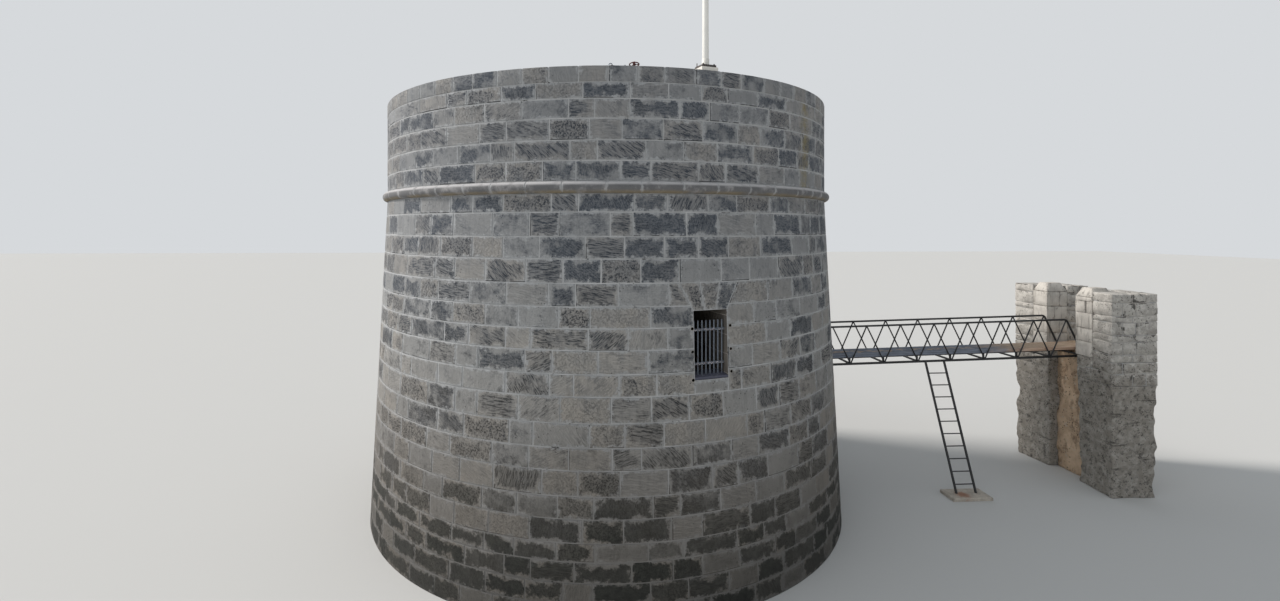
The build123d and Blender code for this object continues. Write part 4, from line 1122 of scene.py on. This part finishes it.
def abutment():
    """The two stubs of the ditch wall: hewn rock below, coursed rubble above, and a dressed pier on each."""
    rock, coursed, piers = Masonry("abutment_rock"), Masonry("abutment_rubble"), Masonry("pier_blocks")
    bed = Masonry("rubble_bed")
    for side in (-1, 1):
        lay_rock(rock, abutment_face(side), (0, 0, 0), (ABUTMENT_SIDE, ROCK_TOP_Z, ABUTMENT_THICKNESS))
        for number, (low, high) in enumerate(pairwise(RUBBLE_JOINTS)):
            lay_abutment_course(coursed, side, low, high, number % 2 == 0)
        lay_pier(piers, side)
        lay_rubble_bed(bed, side)
    limestone = rubble("coral_limestone")
    rock.build(limestone, "rubble_stone")
    coursed.build(limestone, "rubble_stone")
    rubble_mortar = mortar("rubble_mortar", shade(176, 170, 162))
    bed.build(rubble_mortar, "rubble_stone")
    piers.build(dressed("pier_stone"), "dressed_stone", ["gate_pier_near", "gate_pier_far"])
    walls = ["abutment_wall_near", "abutment_wall_far"]
    sunk_copy("abutment_core", walls, lambda middle, normal: middle.z > 0.01,
              (rubble_mortar, plain_stone("abutment_foot")), CORE_DEPTH)


def pier_box(side):
    """Places in one pier: along the wall from the slot, up, and back from the pier's face."""
    def surface(along, up, through):
        return np.stack([PIER_FACE_X + through, side * (SLOT_HALF + along), up], axis=-1)
    return surface


def lay_pier(masonry, side):
    """One pier in courses. The near one's top course has an upright slot in its face, for a gate's latch."""
    for number, (low, high) in enumerate(pairwise(PIER_JOINTS)):
        if side < 0 and high == PIER_CAP_Z:
            lay_slotted_course(masonry, side, low, LATCH_TOP_Z)
            low = LATCH_TOP_Z
        lay_pier_course(masonry, side, low, high, number)
    lay_pier_cap(masonry, side)


def lay_pier_course(masonry, side, low, high, number):
    """One course of a pier: a long stone and a short one, changing ends."""
    meet = PIER_DEPTH * (0.62 if number % 2 else 0.38)
    for start, end in ((0, meet), (meet, PIER_DEPTH)):
        masonry.block(pier_box(side), (0, low, start), (PIER_WIDTH, high, end), **PIER_WORK)


def lay_slotted_course(masonry, side, low, high):
    """A course of a pier with the latch's slot in its face."""
    left, right = LATCH_SLOT
    for start, end, face in ((0, left, 0), (left, right, LATCH_DEPTH), (right, PIER_WIDTH, 0)):
        masonry.block(pier_box(side), (start, low, face), (end, high, PIER_DEPTH), **SLOTTED_WORK)


def lay_pier_cap(masonry, side):
    """The cap stone, drawn in towards its top on all four sides."""
    upright = pier_box(side)
    middle = np.array([PIER_WIDTH / 2, PIER_DEPTH / 2])

    def surface(along, up, through):
        inset = PIER_CAP_INSET * (up - PIER_CAP_Z) / (PIER_TOP_Z - PIER_CAP_Z)
        return upright(middle[0] + (along - middle[0]) * (1 - inset / middle[0]), up,
                       middle[1] + (through - middle[1]) * (1 - inset / middle[1]))
    masonry.block(surface, (0, PIER_CAP_Z, 0), (PIER_WIDTH, PIER_TOP_Z, PIER_DEPTH), **CAP_WORK)


def skin(mesh, rings):
    """A solid through closed rings of points, capped at both ends."""
    rows = [[mesh.verts.new(point) for point in ring] for ring in rings]
    count = len(rows[0])
    for below, above in pairwise(rows):
        for k in range(count):
            mesh.faces.new((below[k], below[(k + 1) % count], above[(k + 1) % count], above[k]))
    mesh.faces.new(rows[0][::-1])
    mesh.faces.new(rows[-1])


def lathe(mesh, profile, seat, sides=16):
    """A turned shape added to a mesh: profile is (radius, height) pairs about the seat's own upright."""
    turns = [2 * pi * k / sides for k in range(sides)]
    skin(mesh, [[seat @ Vector((r * cos(a), r * sin(a), h)) for a in turns] for r, h in profile])


def square_plate(mesh, profile, seat):
    """A plate with rounded corners: profile is (half width, height) pairs."""
    turns = [(quarter, (quarter + step / 4) * pi / 2) for quarter in range(4) for step in range(5)]
    rings = []
    for half, height in profile:
        radius = half * FLANGE_CORNER
        straight = half - radius
        rings.append([seat @ Vector((straight * (1 if quarter in (0, 3) else -1) + radius * cos(a),
                                     straight * (1 if quarter in (0, 1) else -1) + radius * sin(a), height))
                      for quarter, a in turns])
    skin(mesh, rings)


def finish_mesh(name, gathered, material, replaces=(), smooth=True):
    """A gathered mesh as a piece."""
    mesh = bpy.data.meshes.new(name)
    turn_outward(gathered, mesh, smooth)
    add_piece(name, mesh, [material], replaces)


def seat_on(low, high):
    """A frame in the middle of the foot of a box, turned to face away from the tower's axis."""
    middle = (low + high) / 2
    turn = Matrix.Rotation(atan2(middle.y, middle.x), 4, "Z")
    return Matrix.Translation((middle.x, middle.y, low.z)) @ turn


def wall_frame(azimuth, z):
    """A frame on the wall's face, its upright pointing out of the wall."""
    radius = wall_radius(z)
    return (Matrix.Translation((radius * cos(azimuth), radius * sin(azimuth), z))
            @ Matrix.Rotation(azimuth, 4, "Z") @ Matrix.Rotation(pi / 2, 4, "Y"))


def shutter_sockets():
    """The drilled holes beside the window that held a shutter's hinges, each with its worn rim."""
    rims, hollows = bmesh.new(), bmesh.new()
    for offset, radius, heights in HINGE_HOLES:
        for z in heights:
            at = wall_frame(WINDOW_AZIMUTH + offset, z)
            lathe(hollows, [(radius, -0.006), (radius, 0.0002), (radius * 0.5, -0.0004)], at)
            lathe(rims, [(radius * 1.02, -0.006), (radius * 1.02, 0.0004), (radius * 1.12, 0.0008),
                         (radius * 1.25, -0.001), (radius * 1.25, -0.006)], at)
    finish_mesh("socket_hollows", hollows, dark_hole("socket_dark"))
    finish_mesh("socket_rims", rims, plain_stone("socket_rim", shade(176, 172, 166)))


def round_bar(name, lines, radius, closed=False):
    """Round bar or wire along smooth lines, as a mesh."""
    curve = bpy.data.curves.new(name, "CURVE")
    curve.dimensions = "3D"
    curve.bevel_depth = radius
    curve.bevel_resolution = 2
    curve.use_fill_caps = True
    for points in lines:
        line = curve.splines.new("NURBS")
        line.points.add(len(points) - 1)
        for point, place in zip(line.points, points):
            point.co = (*place, 1)
        line.use_cyclic_u = closed
        line.use_endpoint_u = not closed
        line.order_u = 3
    holder = bpy.data.objects.new(name, curve)
    mesh = bpy.data.meshes.new_from_object(holder)
    bpy.data.objects.remove(holder)
    bpy.data.curves.remove(curve)
    mesh.name = name
    return mesh


def grille_lashings():
    """The twisted wire wound along both rails of the grille and round its bars."""
    out = Vector((cos(WINDOW_AZIMUTH), sin(WINDOW_AZIMUTH), 0))
    across = Vector((-out.y, out.x, 0))
    lines = []
    for rail_z in GRILLE_RAIL_Z:
        line = []
        for along in np.linspace(-LASHING_HALF, LASHING_HALF, 49):
            turn = 2 * pi * along / LASHING_PITCH
            height = rail_z + 0.016 * sin(turn) + 0.007 * sin(2.7 * turn + rail_z)
            place = out * (GRILLE_RADIUS + LASHING_LIFT + 0.004 * cos(1.7 * turn)) + across * float(along)
            line.append((place.x, place.y, height))
        lines.append(line)
    wire = round_bar("grille_lashings", lines, LASHING_WIRE)
    add_piece("grille_lashings", wire, [twisted_wire("lashing_metal")])


def pole_foot():
    """The flagpole's square plate and white socket, with four bolts, one of them standing high."""
    low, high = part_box("flagpole_flange")
    seat = seat_on(low, high)
    plate, socket, bolts = bmesh.new(), bmesh.new(), bmesh.new()
    half, top, mouth = FLANGE_HALF, FLANGE_THICKNESS, high.z - low.z
    square_plate(plate, [(half - 0.002, 0), (half, 0.003), (half, top - 0.004), (half - 0.004, top)], seat)
    lathe(socket, [(0.074, top - 0.002), (0.069, top + 0.004), (0.067, top + 0.012), (0.067, mouth - 0.004),
                   (0.063, mouth), (0.060, mouth)], seat, 40)
    for length, (along, across) in zip(BOLT_LENGTHS, ((-1, -1), (-1, 1), (1, 1), (1, -1))):
        at = seat @ Matrix.Translation((along * BOLT_OFFSET, across * BOLT_OFFSET, top))
        lathe(bolts, [(0.022, -0.002), (0.022, 0.003), (0.010, 0.003)], at)
        lathe(bolts, [(0.014, 0.003), (0.017, 0.005), (0.017, 0.015), (0.014, 0.017)], at, 6)
        lathe(bolts, [(0.008, 0.0), (0.008, length - 0.002), (0.006, length)], at, 10)
    rusty = painted_steel("rusty_steel", shade(58, 52, 50), 0.9)
    finish_mesh("flange_plate", plate, rusty, ["flagpole_flange"])
    finish_mesh("pole_socket", socket, painted_steel("socket_paint", shade(214, 211, 204), 0.4))
    finish_mesh("flange_bolts", bolts, rusty, smooth=False)


def hand_wheel():
    """The wheel leaning a little inward on its spindle, with a nut and the spindle's end above its hub."""
    low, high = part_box("hand_wheel")
    seat = seat_on(low, high)
    tilted = seat @ Matrix.Translation((0, 0, WHEEL_LIFT)) @ Matrix.Rotation(WHEEL_TILT, 4, "Y")
    radius = (high.x - low.x) / 2 - WHEEL_TUBE

    def on_wheel(share, angle):
        rise = SPOKE_BOW * (1 - share) * share
        return tilted @ Vector((share * radius * cos(angle), share * radius * sin(angle), rise))

    rim = [on_wheel(1, 2 * pi * k / 36) for k in range(36)]
    spokes = [[on_wheel(share, angle) for share in (0.1, 0.4, 0.7, 1.0)]
              for angle in (pi / 2, pi * 7 / 6, pi * 11 / 6)]
    wheel = bmesh.new()
    wheel.from_mesh(round_bar("wheel_rim", [rim], WHEEL_TUBE, closed=True))
    wheel.from_mesh(round_bar("wheel_spokes", spokes, WHEEL_TUBE * 0.7))
    lathe(wheel, [(0.026, -0.014), (0.028, -0.010), (0.028, 0.010), (0.022, 0.014)], tilted, 24)
    lathe(wheel, [(0.014, 0.012), (0.018, 0.014), (0.018, 0.026), (0.014, 0.028)], tilted, 6)
    lathe(wheel, [(0.010, -0.02), (0.010, 0.052), (0.007, 0.056)], tilted, 12)
    lathe(wheel, [(0.030, -0.004), (0.030, 0.004), (0.013, 0.010), (0.012, WHEEL_LIFT)], seat, 20)
    maroon = painted_steel("maroon_paint", shade(84, 38, 36), 0.5)
    finish_mesh("wheel_casting", wheel, maroon, ["hand_wheel"])


def shackle():
    """The pin that hangs out of the eye bolt."""
    low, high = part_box("eye_bolt")
    middle = (low + high) / 2
    start = Vector((middle.x - 0.015, middle.y - 0.02, low.z + 0.034))
    end = Vector((middle.x + 0.085, middle.y - 0.03, low.z + 0.012))
    raised = start.lerp(end, 0.5) + Vector((0, 0, 0.006))
    pin = bmesh.new()
    pin.from_mesh(round_bar("pin", [[start, raised, end]], PIN_RADIUS))
    lathe(pin, [(0.010, -0.008), (0.014, -0.005), (0.014, 0.005), (0.010, 0.008)],
          Matrix.Translation(end) @ Matrix.Rotation(pi / 2, 4, "Y"))
    finish_mesh("shackle_pin", pin, painted_steel("pin_rust", shade(60, 48, 44), 0.9))


def finish_nodes():
    """Materials of the CAD nodes that stay as they are."""
    black = painted_steel("black_paint", shade(22, 23, 25), 0.35)
    finishes = {
        iron("wrought_iron"): ["window_grille", "eye_bolt", "parapet_studs"],
        slate("sill_slate"): ["window_sill"],
        painted_steel("white_pole_paint", shade(226, 224, 218), 0.15, 0.35): ["flagpole", "flagpole_truck"],
        painted_steel("white_plinth_paint", shade(220, 216, 208), 0.3, 0.6): ["flagpole_plinth"],
        black: ["bridge_truss_near", "bridge_truss_far", "bridge_cross_beams", "bridge_brackets", "ladder"],
        bridge_edge("edge_paint"): ["bridge_deck_edges"],
        bridge_boards("deck_timber"): ["bridge_deck_boards"],
        timber("floor_timber", shade(104, 84, 64), (4, 50, 50)): ["floor_boards", "floor_joists"],
        plain_stone("room_stone"): ["vault", "firing_step", "ground_floor"],
        concrete("pad_concrete"): ["ladder_pad"],
    }
    for material, nodes in finishes.items():
        for node in nodes:
            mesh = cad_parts[node].data
            mesh.materials.clear()
            mesh.materials.append(material)


def make_camera():
    """The photograph's view, straightened from its panorama."""
    lens = bpy.data.cameras.new("camera")
    lens.sensor_width = 36
    lens.lens = lens.sensor_width * FOCAL_PIXELS / PICTURE[0]
    lens.shift_x = (PICTURE[0] / 2 - AXIS_PIXEL_X) / PICTURE[0]
    lens.shift_y = (HORIZON_PIXEL_Y - PICTURE[1] / 2) / PICTURE[0]
    lens.clip_end = 500
    camera = bpy.data.objects.new("camera", lens)
    camera.location = EYE
    camera.rotation_euler = (radians(90), 0, radians(LOOK_AZIMUTH - 90))
    bpy.context.scene.collection.objects.link(camera)
    bpy.context.scene.camera = camera


def make_floor():
    """A plain pale floor."""
    corners = [(x, y, FLOOR_DROP) for x, y in ((-150, -150), (150, -150), (150, 150), (-150, 150))]
    mesh = bpy.data.meshes.new("floor")
    mesh.from_pydata(corners, [], [(0, 1, 2, 3)])
    floor = bpy.data.objects.new("floor", mesh)
    f = Finish("floor", shade(206, 206, 204), roughness=0.95, specular=0.1)
    f.coat(f.noise(0.4), shade(198, 198, 197), 0.1)
    mesh.materials.append(f.done())
    bpy.context.scene.collection.objects.link(floor)


def make_sky():
    """Soft light from all round, and a plain pale background behind the part."""
    world = bpy.data.worlds.new("studio")
    bpy.context.scene.world = world
    world.use_nodes = True
    tree = world.node_tree
    light = tree.nodes["Background"]
    light.inputs["Color"].default_value = (0.90, 0.95, 1.0, 1)
    light.inputs["Strength"].default_value = 0.46
    backdrop = add_node(tree, "Background", 0, {"Color": (*shade(214, 217, 220), 1)})
    rays = add_node(tree, "LightPath").node.outputs
    seen = {0: rays["Is Camera Ray"], 1: rays["Is Glossy Ray"]}
    seen = add_node(tree, "Math", 0, seen, operation="ADD", use_clamp=True)
    sky = add_node(tree, "MixShader", 0, {0: seen, 1: light.outputs[0], 2: backdrop})
    tree.links.new(sky, tree.nodes["World Output"].inputs["Surface"])


def add_lamp(name, towards, energy, softness, colour):
    """A broad distant lamp; softness is its angle in degrees."""
    lamp = bpy.data.lights.new(name, "SUN")
    lamp.energy = energy
    lamp.angle = radians(softness)
    lamp.color = colour
    holder = bpy.data.objects.new(name, lamp)
    holder.rotation_euler = Vector(towards).to_track_quat("Z", "Y").to_euler()
    bpy.context.scene.collection.objects.link(holder)


bpy.context.scene.view_settings.view_transform = "Standard"
make_camera()
make_floor()
make_sky()
add_lamp("left_lamp", (-0.864, 0.264, 0.62), 3.2, 12, (1.0, 0.95, 0.90))
add_lamp("fill_lamp", (-0.85, -0.55, 0.40), 0.6, 70, (0.94, 0.97, 1.0))
tower_core()
tower_stones()
coping()
string_course()
platform_flags()
abutment()
slot_rock()
shutter_sockets()
grille_lashings()
pole_foot()
hand_wheel()
shackle()
finish_nodes()
